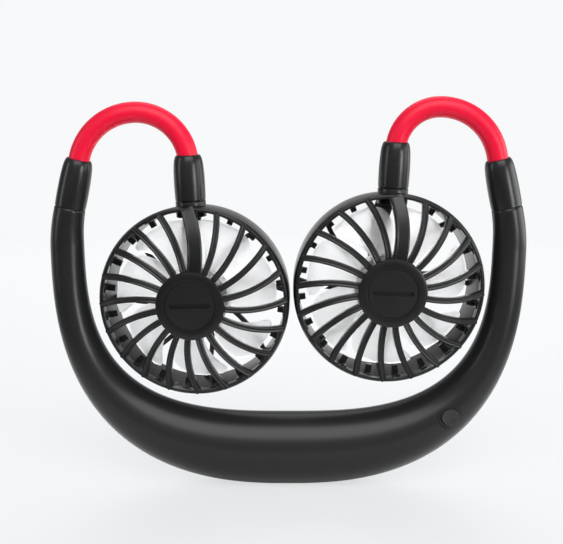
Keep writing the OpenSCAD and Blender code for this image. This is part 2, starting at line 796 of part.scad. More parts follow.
module rear_grille(s) color(plastic) on_face(s) {
    root_z = casing_rear - rear_bulge + rear_rib_depth / 2;
    end_z = casing_rear + rear_rib_depth / 2;
    root_r = rear_hub_r - rear_rib_w;
    mid_r = (root_r + rib_end_r) / 2;
    difference() {
        union() {
            difference() {
                casing_tube();
                intersection() {
                    rotate([-90, 0, 0])
                        cylinder(d = neck_d + 2 * slide_gap, h = head_d);
                    front_half();
                }
            }
            difference() {
                neck_block();
                front_half();
            }
            translate([0, 0, casing_rear - rear_bulge]) cylinder(r = rear_hub_r, h = rear_hub_t);
            for (k = [0:rear_rib_count - 1]) {
                ang = 90 + 360 / rear_rib_count * k;
                bent_rib(polar(root_r, ang + rib_twist * 2, root_z),
                    polar(mid_r, ang + rib_twist, root_z + rear_bulge / 3),
                    polar(head_r - casing_draft - casing_wall / 2, ang, end_z),
                    k == 0 ? rear_arm_w : rear_rib_w, rear_rib_depth);
            }
        }
        neck_bores();
    }
}

module motor(s) color(steel) on_face(s) difference() {
    union() {
        translate([0, 0, motor_back]) cylinder(r = motor_r, h = motor_l);
        translate([0, 0, motor_back - bush_l]) cylinder(r = bush_r, h = bush_l + overrun);
    }
    translate([0, 0, motor_back - bush_l - overrun])
        cylinder(d = shaft_d + 2 * core_gap, h = motor_l / 2 + bush_l + overrun);
}

// Impeller: a cup over the motor with swept, twisted blades
cup_gap = 1;
cup_wall = 1.4;
cup_r = motor_r + cup_gap + cup_wall;
cup_front = hub_skirt_back - 2 * seat_gap;
cup_end_t = 1.2;
cup_back = motor_back - bush_l - seat_gap - cup_end_t;
blade_t = 0.9;
blade_r_steps = 5;
blade_c_steps = 4;
blade_d = 2 * (head_r - casing_wall - tip_gap);
blade_root_angle = 40;
blade_tip_angle = 46;
blade_sweep_angle = 16;
blade_rise_root = 8.4;
blade_rise_tip = 6.6;
blade_mid_z = (cup_front + cup_back) / 2;
camber = 0.9;

function blade_point(i, j, lift) = let (
    p = i / blade_r_steps, q = j / blade_c_steps - 0.5,
    r = mix(cup_r - blade_t / 2, blade_d / 2, p),
    ang = q * mix(blade_root_angle, blade_tip_angle, p) + blade_sweep_angle * p * p)
    polar(r, ang, blade_mid_z + q * mix(blade_rise_root, blade_rise_tip, p)
        + camber * (1 - 4 * q * q) + lift * blade_t);

module blade() {
    ring_solid([for (i = [0:blade_r_steps]) concat(
        [for (j = [0:blade_c_steps]) blade_point(i, j, 0.5)],
        [for (j = [blade_c_steps:-1:0]) blade_point(i, j, -0.5)])]);
}

module impeller(s) color(frosted) on_face(s) {
    difference() {
        union() {
            translate([0, 0, cup_back]) cylinder(r = cup_r, h = cup_front - cup_back);
            for (k = [0:blade_count - 1]) rotate(360 / blade_count * k) blade();
        }
        translate([0, 0, cup_back + cup_end_t])
            cylinder(r = motor_r + cup_gap, h = cup_front - cup_back);
        translate([0, 0, cup_back - overrun]) cylinder(d = shaft_d, h = cup_end_t + 2 * overrun);
    }
}

module motor_shaft(s) color(steel) on_face(s)
    translate([0, 0, cup_back]) cylinder(d = shaft_d, h = motor_l / 2 + bush_l + cup_end_t);

module aroma_pad(s) color("#e9e4d6") on_face(s)
    translate([0, 0, chamber_back]) cylinder(r = pad_r, h = pad_t);

// Coin slot of the lid
coin_w = 15.3;
coin_h = 2;
coin_depth = 1.2;

module hub_lid(s) color(plastic) on_face(s) {
    difference() {
        union() {
            translate([0, 0, ledge_front]) cylinder(d = lid_d, h = lid_t);
            translate([0, 0, lug_front]) cylinder(r = boss_r, h = ledge_front - lug_front);
            translate([0, 0, lug_front - lug_t]) bayonet(boss_r, lug_reach, lug_angle, lug_t);
        }
        translate([-coin_w / 2, -coin_h / 2, hub_front - lid_drop - coin_depth])
            cube([coin_w, coin_h, lid_t]);
    }
}

// Leads. Their routes are rings of points along the middle of what they run through.
lead_sides = 8;
left_route = [[55, -4, 0], [62, -7, 4], [75, -10, 4], [90, -10.6, 4], [105, -10, 4], [118, -7, 4],
    [135, -5, 0], [150, -3.4, 0], [165, -2.8, 0], [180, -2.6, 0]];
right_route = [[36, -4, 0], [24, -3.4, 0], [12, -2.8, 0], [0, -2.6, 0]];

function band_leg(s) = [for (step = s < 0 ? left_route : right_route)
    band_point(turn_station(step[0]), step[1], step[2])];
function face_to_world(s, p) = let (
    t = head_turn(s), c = head_centre(s),
    x = p.x * cos(t) + p.z * sin(t), y = p.x * sin(t) - p.z * cos(t))
    [s * c.x + x * cos(stem_lean) + s * p.y * sin(stem_lean), y,
        c.y - s * x * sin(stem_lean) + p.y * cos(stem_lean)];
function rib_back(share) = let (
    r = mix(rib_root_r, rib_end_r, share),
    ang = 90 - rib_twist * (1 - share * share))
    polar(r, ang, mix(rib_root_z, rib_end_z, share * share) - rib_depth / 2 - lead_d);
function head_leg(s) = [for (p = [
    [0, lead_turn + 2 * lead_d, 0], [0, lead_turn, 0],
    [0, lead_turn, neck_d / 2 + lead_d / 2],
    rib_back(0.8), rib_back(0.6), rib_back(0.4), rib_back(0.2),
    polar(hub_d / 2 + 2 * lead_d, 90 - rib_twist, lead_level),
    polar(motor_r + lead_d, 90 - rib_twist, lead_level)]) face_to_world(s, p)];
function mirrored(s, pts) = [for (p = pts) [s * p.x, p.y, p.z]];
function lead_route(s) = concat(band_leg(s),
    mirrored(s, concat([arm_point(-spigot_l - 2 * lead_d), arm_point(arm_collar_l / 2)],
        hose_points(s, 0))),
    [face_to_world(s, [0, stem_l / 2 + cage_low / 2, 0])], head_leg(s));

module motor_leads(s) color("#b9342e") rod(lead_route(s), lead_d, lead_sides);

// The cell's two leads pass the screw boss and end on the front and the back of the board
battery_route = [[64, -5.5], [61, -5.5], [58, -5]];
module battery_leads() {
    for (facing = [-1, 1]) color(facing > 0 ? "#b9342e" : plastic) {
        from_y = facing * cell_d / 3;
        to_y = facing < 0 ? -board_front - lead_d / 2 : board_back_y + lead_d / 2;
        rod(concat([[cell_l / 2 - cell_cap_t, from_y, cell_z],
                [cell_l / 2 + 2 * lead_d, from_y, cell_z]],
            [for (k = [0:len(battery_route) - 1]) band_point(turn_station(battery_route[k][0]),
                battery_route[k][1], k == 0 ? (from_y + to_y) / 2 : to_y)]),
            lead_d, lead_sides);
    }
}

front_shell();
rear_shell();
side(left) arm_collar();  // left_arm_collar
side(right) arm_collar();  // right_arm_collar
side(left) gooseneck_root();  // left_gooseneck_root
side(right) gooseneck_root();  // right_gooseneck_root
battery_cell();
control_board();
usb_port();
tact_switch();
battery_leads();
housing_screws();
power_button();
switch_plunger();
gooseneck(left);  // left_gooseneck
hose_sleeve(left);  // left_hose_sleeve
motor_leads(left);  // left_motor_leads
gooseneck(right);  // right_gooseneck
hose_sleeve(right);  // right_hose_sleeve
motor_leads(right);  // right_motor_leads
fan_collar(left);  // left_fan_collar
gooseneck_tip(left);  // left_gooseneck_tip
fan_collar(right);  // right_fan_collar
gooseneck_tip(right);  // right_gooseneck_tip
front_grille(left);  // left_front_grille
rear_grille(left);  // left_rear_grille
motor(left);  // left_motor
aroma_pad(left);  // left_aroma_pad
front_grille(right);  // right_front_grille
rear_grille(right);  // right_rear_grille
motor(right);  // right_motor
aroma_pad(right);  // right_aroma_pad
impeller(left);  // left_impeller
motor_shaft(left);  // left_motor_shaft
impeller(right);  // right_impeller
motor_shaft(right);  // right_motor_shaft
hub_lid(left);  // left_hub_lid
hub_lid(right);  // right_hub_lid
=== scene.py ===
import json
import bmesh
import bpy
import numpy as np
from mathutils import Matrix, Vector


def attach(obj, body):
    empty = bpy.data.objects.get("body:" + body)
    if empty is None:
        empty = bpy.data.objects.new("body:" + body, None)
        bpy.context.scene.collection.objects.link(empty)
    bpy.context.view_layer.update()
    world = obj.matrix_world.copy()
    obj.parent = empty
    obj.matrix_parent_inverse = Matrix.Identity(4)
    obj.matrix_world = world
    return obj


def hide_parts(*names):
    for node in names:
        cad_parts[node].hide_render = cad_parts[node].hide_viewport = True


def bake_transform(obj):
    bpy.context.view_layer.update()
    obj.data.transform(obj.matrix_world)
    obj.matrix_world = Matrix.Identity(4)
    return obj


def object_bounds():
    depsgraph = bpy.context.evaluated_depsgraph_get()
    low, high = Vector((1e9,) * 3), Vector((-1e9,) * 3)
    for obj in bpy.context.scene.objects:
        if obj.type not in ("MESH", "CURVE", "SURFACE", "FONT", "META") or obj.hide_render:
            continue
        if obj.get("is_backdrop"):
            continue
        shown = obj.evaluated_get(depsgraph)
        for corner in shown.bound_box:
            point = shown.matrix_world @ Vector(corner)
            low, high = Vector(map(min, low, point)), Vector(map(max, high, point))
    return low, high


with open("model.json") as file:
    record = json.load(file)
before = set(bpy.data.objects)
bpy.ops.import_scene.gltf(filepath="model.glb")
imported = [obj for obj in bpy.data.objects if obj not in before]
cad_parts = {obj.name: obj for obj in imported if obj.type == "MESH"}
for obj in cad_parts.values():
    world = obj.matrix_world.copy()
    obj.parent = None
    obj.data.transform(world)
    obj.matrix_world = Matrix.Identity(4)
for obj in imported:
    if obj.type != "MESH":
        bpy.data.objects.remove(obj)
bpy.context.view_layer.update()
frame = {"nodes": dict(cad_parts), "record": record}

# ---- Rear shell ----
# The back half of the neckband: an injection-moulded ABS shell, 1.6 mm thick, with a fine satin
# grain. Four screws, sunk in counterbores, pull it onto the front shell.
MM = 0.001
band_w, band_drop, foot_cut = 180.0, 92.6, 0.8
inner_w, inner_drop, inner_lift = 154.8, 68.6, 4.8
arm_depth, bottom_depth, wall = 11.8, 23.8, 1.6
outer_power, inner_power, depth_power = 2.5, 3, 1.2
arm_rise, arm_draw, arm_w, arm_tilt = 18.0, 2.4, 11.5, np.radians(12.9)
widest_z = band_drop - foot_cut
inner_z = widest_z + inner_lift
seam_out = np.array([band_w / 2 - arm_draw, widest_z + arm_rise])
seam_in = seam_out - arm_w * np.array([np.cos(arm_tilt), np.sin(arm_tilt)])


def nodes(tree, *kinds):
    """New shader nodes of the given kinds in a node tree."""
    return [tree.nodes.new(kind) for kind in kinds]


def preset(*values):
    """Sets sockets, each given as a node, its input and the value."""
    for node, socket, value in values:
        node.inputs[socket].default_value = value


def wired(tree, *links):
    """Links nodes: each link goes from a node and its output to a node and its input."""
    for start, output, end, socket in links:
        tree.links.new(start.outputs[output], end.inputs[socket])


def moulded_group():
    """Node group of moulded plastic: a fine grain gives the normal, and colour and roughness are
    both multiplied by one plus the drift times a slow noise's distance from its middle."""
    group = bpy.data.node_groups.new("moulded finish", "ShaderNodeTree")
    for name, kind, way, value in (
            ("Color", "NodeSocketColor", "INPUT", (0.02, 0.02, 0.02, 1)),
            ("Roughness", "NodeSocketFloat", "INPUT", 0.4),
            ("Grain per Metre", "NodeSocketFloat", "INPUT", 2500),
            ("Grain Depth", "NodeSocketFloat", "INPUT", 0.00002),
            ("Drift", "NodeSocketFloat", "INPUT", 0.2),
            ("Color", "NodeSocketColor", "OUTPUT", None),
            ("Roughness", "NodeSocketFloat", "OUTPUT", None),
            ("Normal", "NodeSocketVector", "OUTPUT", None)):
        socket = group.interface.new_socket(name=name, in_out=way, socket_type=kind)
        if value is not None:
            socket.default_value = value
    given, out = group.nodes.new("NodeGroupInput"), group.nodes.new("NodeGroupOutput")
    place, grain, drift, bump, swing, factor, rough, tint = nodes(
        group, "ShaderNodeTexCoord", "ShaderNodeTexNoise", "ShaderNodeTexNoise", "ShaderNodeBump",
        "ShaderNodeMath", "ShaderNodeMath", "ShaderNodeMath", "ShaderNodeVectorMath")
    swing.operation, factor.operation = "SUBTRACT", "MULTIPLY_ADD"
    rough.operation, tint.operation = "MULTIPLY", "SCALE"
    preset((grain, "Detail", 4), (drift, "Detail", 5), (drift, "Scale", 70),
           (bump, "Strength", 0.6), (swing, 1, 0.5), (factor, 2, 1))
    wired(group, (place, "Object", grain, "Vector"), (place, "Object", drift, "Vector"),
          (given, "Grain per Metre", grain, "Scale"), (given, "Grain Depth", bump, "Distance"),
          (grain, "Fac", bump, "Height"), (bump, "Normal", out, "Normal"),
          (drift, "Fac", swing, 0), (swing, 0, factor, 0), (given, "Drift", factor, 1),
          (given, "Roughness", rough, 0), (factor, 0, rough, 1), (rough, 0, out, "Roughness"),
          (given, "Color", tint, 0), (factor, 0, tint, "Scale"), (tint, "Vector", out, "Color"))
    return group


moulded_finish = moulded_group()


def moulded(name, colour, roughness, grain=2500, depth=0.00002, drift=0.3, **own):
    """A Principled material fed by the moulded finish; own sets sockets of the shader itself."""
    material = bpy.data.materials.new(name)
    material.use_nodes = True
    shader = material.node_tree.nodes["Principled BSDF"]
    fed, = nodes(material.node_tree, "ShaderNodeGroup")
    fed.node_tree = moulded_finish
    preset((fed, "Color", (*colour, 1)), (fed, "Roughness", roughness),
           (fed, "Grain per Metre", grain), (fed, "Grain Depth", depth), (fed, "Drift", drift),
           *((shader, socket.replace("_", " "), value) for socket, value in own.items()))
    wired(material.node_tree, (fed, "Color", shader, "Base Color"),
          (fed, "Roughness", shader, "Roughness"), (fed, "Normal", shader, "Normal"))
    return material


shell_black = moulded("shell black", (0.012, 0.012, 0.0125), 0.29, grain=2600, depth=0.000025,
                      drift=0.1, Specular_IOR_Level=0.26)


def skin(name, grids, material, sharp=32):
    """One mesh from grids of points in millimetres. Each grid is (points, rows close, columns
    close): quads join neighbouring points, shared points are merged and faces turned outwards."""
    points, quads, count = [], [], 0
    for grid, rows_close, columns_close in grids:
        index = count + np.arange(grid.shape[0] * grid.shape[1]).reshape(grid.shape[:2])
        if rows_close:
            index = np.concatenate([index, index[:1]])
        if columns_close:
            index = np.concatenate([index, index[:, :1]], axis=1)
        quads.append(np.stack([index[:-1, :-1], index[:-1, 1:], index[1:, 1:], index[1:, :-1]],
                              axis=-1).reshape(-1, 4))
        points.append(grid.reshape(-1, 3))
        count += grid.shape[0] * grid.shape[1]
    mesh = bpy.data.meshes.new(name)
    mesh.from_pydata(np.concatenate(points) * MM, [], np.concatenate(quads))
    work = bmesh.new()
    work.from_mesh(mesh)
    bmesh.ops.remove_doubles(work, verts=work.verts, dist=0.002 * MM)
    bmesh.ops.dissolve_degenerate(work, edges=work.edges, dist=0.0005 * MM)
    bmesh.ops.recalc_face_normals(work, faces=work.faces)
    work.to_mesh(mesh)
    work.free()
    mesh.materials.append(material)
    made = bpy.data.objects.new(name, mesh)
    bpy.context.scene.collection.objects.link(made)
    smooth(made, sharp)
    return made


def smooth(made, sharp=32):
    """Smooth shading that breaks where faces meet at more than the given angle."""
    made.data.shade_smooth()
    made.data.set_sharp_from_angle(angle=np.radians(sharp))


def combined(base, tool, way):
    """Joins the tool to the base piece, or cuts it away, as an exact boolean that is applied."""
    step = base.modifiers.new(way, "BOOLEAN")
    step.operation, step.solver, step.object = way, "EXACT", tool
    bpy.context.view_layer.objects.active = base
    bpy.ops.object.modifier_apply(modifier=step.name)
    bpy.data.objects.remove(tool)
    smooth(base)


def reach(angle, w, drop, power):
    """Distance from the middle to a superellipse: the sum of |cos| over half the width and |sin|
    over the drop, each to the power, raised to minus one over the power."""
    return ((np.abs(np.cos(angle)) / (w / 2)) ** power
            + (np.abs(np.sin(angle)) / drop) ** power) ** (-1 / power)


def turn_rows(angle):
    """Outer point, inner point and half depth of the band at angles from the right arm down."""
    way = np.stack([np.cos(angle), -np.sin(angle)], axis=-1)
    outer = [0, widest_z] + reach(angle, band_w, band_drop, outer_power)[:, None] * way
    inner = [0, inner_z] + reach(angle, inner_w, inner_drop, inner_power)[:, None] * way
    half = arm_depth / 2 + (bottom_depth - arm_depth) / 2 * np.abs(np.sin(angle)) ** depth_power
    return outer, inner, half


def arm_rows(share, side):
    """The same rows up an arm: heights rise evenly, and widths draw in with the square."""
    def drawn(start, end):
        """From start to end: across with the square of the share, up with the share itself."""
        return np.stack([side * (start[0] + (end[0] - start[0]) * share ** 2),
                         start[1] + (end[1] - start[1]) * share], axis=-1)
    return (drawn((band_w / 2, widest_z), seam_out), drawn((inner_w / 2, inner_z), seam_in),
            np.full(share.shape, arm_depth / 2))


arm_steps, turn_steps = 25, 181
rows = [np.concatenate(part) for part in zip(
    arm_rows(np.linspace(1, 0, arm_steps)[:-1], 1),
    turn_rows(np.radians(np.linspace(0, 180, turn_steps))),
    arm_rows(np.linspace(0, 1, arm_steps)[1:], -1))]


def band_points(rows, across, depth):
    """Points of the band: across is the way to the outer edge, depth the way to the back."""
    outer, inner, _ = rows
    middle = (outer + inner) / 2
    way = (outer - inner) / np.linalg.norm(outer - inner, axis=-1, keepdims=True)
    flat = middle[:, None] + way[:, None] * across[..., None]
    return np.stack([flat[..., 0], depth, np.maximum(flat[..., 1], 0)], axis=-1)


def half_shell(facing):
    """A C-shaped section carried round the band: half an ellipse outside and the same less the
    wall inside, with a small chamfer where the halves meet. The skin draws in a little at the
    arms' ends, and two strips close them."""
    chamfer, steps, end_draw, hair = 0.18, 40, 0.28, 0.01
    half_w = np.linalg.norm(rows[0] - rows[1], axis=-1)[:, None] / 2
    half_d = rows[2][:, None]
    turn = np.linspace(0, np.pi, steps + 1)[None]
    start = np.arcsin(chamfer / half_d)
    outer_turn = start + turn / np.pi * (np.pi - 2 * start)
    draw = np.zeros_like(half_w)
    draw[[0, -1]] = end_draw
    skin_w, skin_d = half_w - draw, half_d - draw
    lip = skin_w - chamfer
    across = np.concatenate([lip, skin_w * np.cos(outer_turn), -lip], axis=1)
    depth = np.concatenate([0 * half_d, skin_d * np.sin(outer_turn), 0 * half_d], axis=1)
    outer = band_points(rows, across, facing * depth)
    edge = half_w - wall
    # The inner line has its end points twice, to match the outer one, and they stand a hair apart.
    inner_turn = np.pad(turn, ((0, 0), (1, 1)), mode="edge")
    inner_turn[0, 1] += hair
    inner_turn[0, -2] -= hair
    inner = band_points(rows, edge * np.cos(inner_turn),
                        facing * (half_d - wall) * np.sin(inner_turn))
    ring = np.concatenate([outer, inner[:, ::-1]], axis=1)
    ends = [(np.stack([outer[k], inner[k]]), False, False) for k in (0, -1)]
    return [(ring, False, True), *ends]


def turned(outline, steps=96, sweep=360, start=0):
    """An outline of (radius, height) turned about the z axis, as grids: a full turn closes on
    itself, and a part turn is closed at both ends by strips between the outline's two halves."""
    outline = np.asarray(outline, float)
    full = sweep >= 360
    turn = np.radians(start + np.linspace(0, sweep, steps + 1))[:-1 if full else None, None]
    radius, height = outline[None, :, 0], outline[None, :, 1]
    grid = np.stack([radius * np.cos(turn), radius * np.sin(turn), height + 0 * turn], axis=-1)
    if full:
        return [(grid, True, True)]
    half = len(outline) // 2
    caps = [(np.stack([grid[k, :half], grid[k, ::-1][:half]]), False, False) for k in (0, -1)]
    return [(grid, False, True), *caps]


def disc(radius, low, high, edge=0.0):
    """Outline of a plain round bar between two heights, with its ends rounded by edge."""
    inner = [(radius, low), (radius, high)]
    if edge:
        t = np.radians(np.linspace(0, 90, 7))
        inner = [*zip(radius - edge + edge * np.sin(t), low + edge - edge * np.cos(t)),
                 *zip(radius - edge + edge * np.cos(t), high - edge + edge * np.sin(t))]
    return [(0, low), *inner, (0, high)]


def moved(grids, where):
    """The same grids with every point passed through where."""
    return [(where(points), rows_close, columns_close)
            for points, rows_close, columns_close in grids]


def at_band(angle, across=0.0):
    """Middle of the band at an angle, moved across it, as (x, z), with its half depth and width."""
    outer, inner, half = turn_rows(np.radians([angle]))
    half_w = np.linalg.norm(outer - inner) / 2
    return ((outer + inner) / 2 + (outer - inner) / 2 / half_w * across)[0], half[0], half_w


def bored(spot, facing):
    """Turns grids about z into grids along the depth, to the front (-1) or the back (1)."""
    return lambda p: np.stack([spot[0] + p[..., 0], facing * p[..., 2],
                               spot[1] - facing * p[..., 1]], axis=-1)


screw_angles, screw_across = (12, 62, 118, 168), (1.3, 0, 0, 1.3)
counterbore_r, counterbore_depth, pilot_r, past_skin = 2.0, 2.7, 1.05, 20.0
rear_boss_r, rear_boss_rise = 3.2, 1.2
screw_seats = []
for angle, across in zip(screw_angles, screw_across):
    spot, half, half_w = at_band(angle, across)
    skin_there = half * np.sqrt(1 - ((counterbore_r + abs(across)) / half_w) ** 2)
    screw_seats.append((spot, skin_there - counterbore_depth))

button_angle, board_lean, board_front = 46.5, 4, -1.7816
button_spot, button_half, _ = at_band(button_angle)
board_turn = np.radians(90 - button_angle - board_lean)


def on_board(p):
    """Board frame: x along the band, y across it, z to the front, zero on the board's front."""
    x = p[..., 0] * np.cos(board_turn) - p[..., 1] * np.sin(board_turn)
    z = p[..., 0] * np.sin(board_turn) + p[..., 1] * np.cos(board_turn)
    return np.stack([button_spot[0] + x, board_front - p[..., 2], button_spot[1] + z], axis=-1)


def slot_bar(w, h, low, high, steps=12):
    """A bar with a long round-ended section: half circles carried between two heights."""
    turn = np.radians(np.linspace(-90, 270, 4 * steps + 1))[:-1]
    x = np.sign(np.cos(turn)) * (w - h) / 2 * (np.abs(np.cos(turn)) > 1e-9) + h / 2 * np.cos(turn)
    y = h / 2 * np.sin(turn)
    rim = np.stack([x, y], axis=-1)
    grid = np.stack([np.concatenate([rim * share, np.full((len(rim), 1), level)], axis=1)
                     for share, level in ((0.0, low), (1.0, low), (1.0, high), (0.0, high))])
    return [(grid, False, True)]


rear_shell = skin("rear_shell_skin", half_shell(1), shell_black)
for spot, seat in screw_seats:
    boss = moved(turned(disc(rear_boss_r, 0.0, seat + rear_boss_rise), 48), bored(spot, 1))
    combined(rear_shell, skin("boss", boss, shell_black), "UNION")
for spot, seat in screw_seats:
    for radius, low in ((counterbore_r, seat), (pilot_r, -1.0)):
        hole = moved(turned(disc(radius, low, past_skin), 48), bored(spot, 1))
        combined(rear_shell, skin("hole", hole, shell_black), "DIFFERENCE")
plug_w, plug_h, plug_along, outside = 9.2, 3.5, -3.0, -18.0
for chamfer, inside in ((0.0, -1.5), (0.35, -11.55)):
    slot = slot_bar(plug_w + 2 * chamfer, plug_h + 2 * chamfer, outside, inside)
    slot = moved(slot, lambda p: on_board(p + [plug_along, 0, 0]))
    combined(rear_shell, skin("slot", slot, shell_black), "DIFFERENCE")
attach(rear_shell, "neckband")
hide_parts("rear_shell")

# ---- What lies in the rear shell ----
# The lithium cell in its blue shrink wrap, the green control board with the charging socket and
# the push switch, and their leads, laid in before the front shell goes on.
def surface(name, colour, second, scale, roughness, depth, bands=False, **own):
    """A Principled material whose colour runs between two tones over a noise or over bands, and
    whose height follows the same pattern."""
    material = bpy.data.materials.new(name)
    material.use_nodes = True
    tree, shader = material.node_tree, material.node_tree.nodes["Principled BSDF"]
    place, pattern, tones, bump = nodes(
        tree, "ShaderNodeTexCoord", "ShaderNodeTexWave" if bands else "ShaderNodeTexNoise",
        "ShaderNodeValToRGB", "ShaderNodeBump")
    for stop, way, tone in zip(tones.color_ramp.elements, (0.35, 0.65), (colour, second)):
        stop.position, stop.color = way, (*tone, 1)
    preset((pattern, "Distortion", 2) if bands else (pattern, "Detail", 5),
           (pattern, "Scale", scale), (bump, "Strength", 0.5), (bump, "Distance", depth),
           (shader, "Roughness", roughness),
           *((shader, socket.replace("_", " "), value) for socket, value in own.items()))
    wired(tree, (place, "Object", pattern, "Vector"), (pattern, "Fac", tones, "Fac"),
          (tones, "Color", shader, "Base Color"), (pattern, "Fac", bump, "Height"),
          (bump, "Normal", shader, "Normal"))
    return material


def finish(node, material):
    """Gives a carried-over solid its material in every slot."""
    slots = frame["nodes"][node].data.materials
    if not len(slots):
        slots.append(material)
    for k in range(len(slots)):
        slots[k] = material


brushed_steel = surface("brushed steel", (0.5, 0.5, 0.52), (0.62, 0.62, 0.63), 900, 0.3, 0.00001,
                        Metallic=1.0)
cell_wrap = surface("cell wrap", (0.03, 0.13, 0.4), (0.035, 0.15, 0.45), 120, 0.3, 0.00002)
solder_mask = surface("solder mask", (0.01, 0.13, 0.045), (0.02, 0.2, 0.07), 400, 0.35, 0.00003,
                      bands=True)
switch_black = moulded("switch black", (0.03, 0.03, 0.03), 0.4)
plunger_cream = moulded("plunger cream", (0.55, 0.5, 0.38), 0.45)
red_wire = surface("red wire", (0.4, 0.02, 0.015), (0.46, 0.03, 0.02), 500, 0.4, 0.00001)
for node, material in (
        ("battery_cell", cell_wrap), ("control_board", solder_mask), ("usb_port", brushed_steel),
        ("tact_switch", switch_black), ("switch_plunger", plunger_cream),
        ("battery_leads", red_wire), ("housing_screws", brushed_steel)):
    finish(node, material)

# ---- Front shell ----
# The front half of the neckband, in the same black ABS: a screw boss over each of the rear ones,
# and the button's hole inside a fine ring groove.
front_shell = skin("front_shell_skin", half_shell(-1), shell_black)
front_boss_r, front_boss_inset, longest_pilot = 2.25, 0.9, 6.0
for (spot, _), angle in zip(screw_seats, screw_angles):
    half = turn_rows(np.radians([angle]))[2][0]
    boss = turned(disc(front_boss_r, 0.0, half - front_boss_inset), 48)
    pilot = turned(disc(pilot_r, -1.0, min(longest_pilot, half - wall) + 0.1), 48)
    for word, grids, way in (("boss", boss, "UNION"), ("hole", pilot, "DIFFERENCE")):
        combined(front_shell, skin(word, moved(grids, bored(spot, -1)), shell_black), way)
flange_r, flange_seat, hole_r, hole_mouth_r = 4.3, 7.78, 3.31, 3.7
button_hole = [(0, -1), (flange_r, -1), (flange_r, flange_seat), (hole_r, flange_seat),
               (hole_r, button_half - 0.25), (hole_mouth_r, button_half + 0.2),
               (hole_mouth_r, past_skin), (0, past_skin)]
groove_in, groove_out, groove_low = 4.25, 4.7, button_half - 0.62
ring_groove = [(groove_in, groove_low), (groove_out, groove_low), (groove_out, past_skin),
               (groove_in, past_skin)]
for outline in (button_hole, ring_groove):
    cutter = skin("cutter", moved(turned(outline, 96), bored(button_spot, -1)), shell_black)
    combined(front_shell, cutter, "DIFFERENCE")
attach(front_shell, "neckband")
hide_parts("front_shell")

# ---- Power button ----
# A small round ABS button with a dished top. Its flange keeps it behind the shell, and its stem
# stands on the switch's plunger.
button_black = moulded("button black", (0.016, 0.016, 0.0165), 0.36, grain=3000,
                       Specular_IOR_Level=0.35)
button_r, stem_r, stem_low, flange_low, flange_high = 3.25, 1.5, 5.98, 6.48, 7.48
button_top, dish_r, dish_depth = button_half + 0.5, 2.7, 0.3
dish = np.linspace(0, 1, 9)
button_line = [(0, stem_low), (stem_r, stem_low), (stem_r, flange_low), (flange_r, flange_low),
               (flange_r, flange_high), (button_r, flange_high), (button_r, button_top - 0.25),
               (button_r - 0.08, button_top - 0.08), (button_r - 0.25, button_top),
               *zip(dish_r * (1 - dish), button_top - 0.02 - dish_depth * (1 - (1 - dish) ** 2))]
button = skin("power_button_cap", moved(turned(button_line, 96), bored(button_spot, -1)),
              button_black)
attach(button, "button")
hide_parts("power_button")

# ---- Arm collars ----
# Turned-looking moulded sleeves, glued by their spigots into the arms. They are glossier than the
# shells, draw in towards the mouth, and hold the steel root of the gooseneck and the hose's end.
collar_black = moulded("collar black", (0.011, 0.011, 0.0115), 0.27, grain=1500, depth=0.00001,
                       drift=0.15, Specular_IOR_Level=0.3)
arm_collar_l, hose_d, core_d = 18.4, 7.8, 3.6
socket_r, core_bore = hose_d / 2 + 0.3, core_d / 2 + 0.05
seam_mid = (seam_out + seam_in) / 2


def bowed(points, steps=6):
    """A smooth line through the given points: between two of them a cubic that keeps the slope
    of the points on either side (Catmull-Rom)."""
    points = np.asarray(points, float)
    padded = np.concatenate([2 * points[:1] - points[1:2], points, 2 * points[-1:] - points[-2:-1]])
    before, start, end, after = padded[:-3], padded[1:-2], padded[2:-1], padded[3:]
    t = np.linspace(0, 1, steps + 1)[:-1, None, None]
    line = 0.5 * (2 * start + (end - before) * t
                  + (2 * before - 5 * start + 4 * end - after) * t ** 2
                  + (3 * start - before - 3 * end + after) * t ** 3)
    return np.concatenate([line.transpose(1, 0, 2).reshape(-1, points.shape[1]), points[-1:]])


def on_arm(side):
    """Arm frame: z up the collar from the middle of its seam, leaning inwards."""
    def where(p):
        """Turned by the arm's tilt, shifted to the seam, and u mirrored on the left."""
        u = seam_mid[0] + p[..., 0] * np.cos(arm_tilt) - p[..., 2] * np.sin(arm_tilt)
        z = seam_mid[1] + p[..., 0] * np.sin(arm_tilt) + p[..., 2] * np.cos(arm_tilt)
        return np.stack([side * u, p[..., 1], z], axis=-1)
    return where


low_r, spigot_r, spigot_end, socket_floor = arm_w / 2, 4.0, -6, 13.1
collar_out = bowed([(low_r, 0.28), (low_r + 0.08, 3), (low_r + 0.08, 7), (low_r - 0.02, 11),
                    (5.5, 14.6), (5.24, 16.4), (4.9, 17.6)])
collar_line = [(core_bore, spigot_end), (spigot_r, spigot_end), (spigot_r, 0.08),
               (low_r - 0.2, 0.08), *collar_out, (4.66, 18.05), (4.45, 18.32),
               (socket_r + 0.12, 18.38), (socket_r, 18.2), (socket_r, socket_floor),
               (core_bore, socket_floor)]
for name, side in (("left", -1), ("right", 1)):
    collar = skin(f"{name}_arm_collar_skin", moved(turned(collar_line, 128), on_arm(side)),
                  collar_black)
    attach(collar, "neckband")
    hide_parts(f"{name}_arm_collar")
    finish(f"{name}_gooseneck_root", brushed_steel)

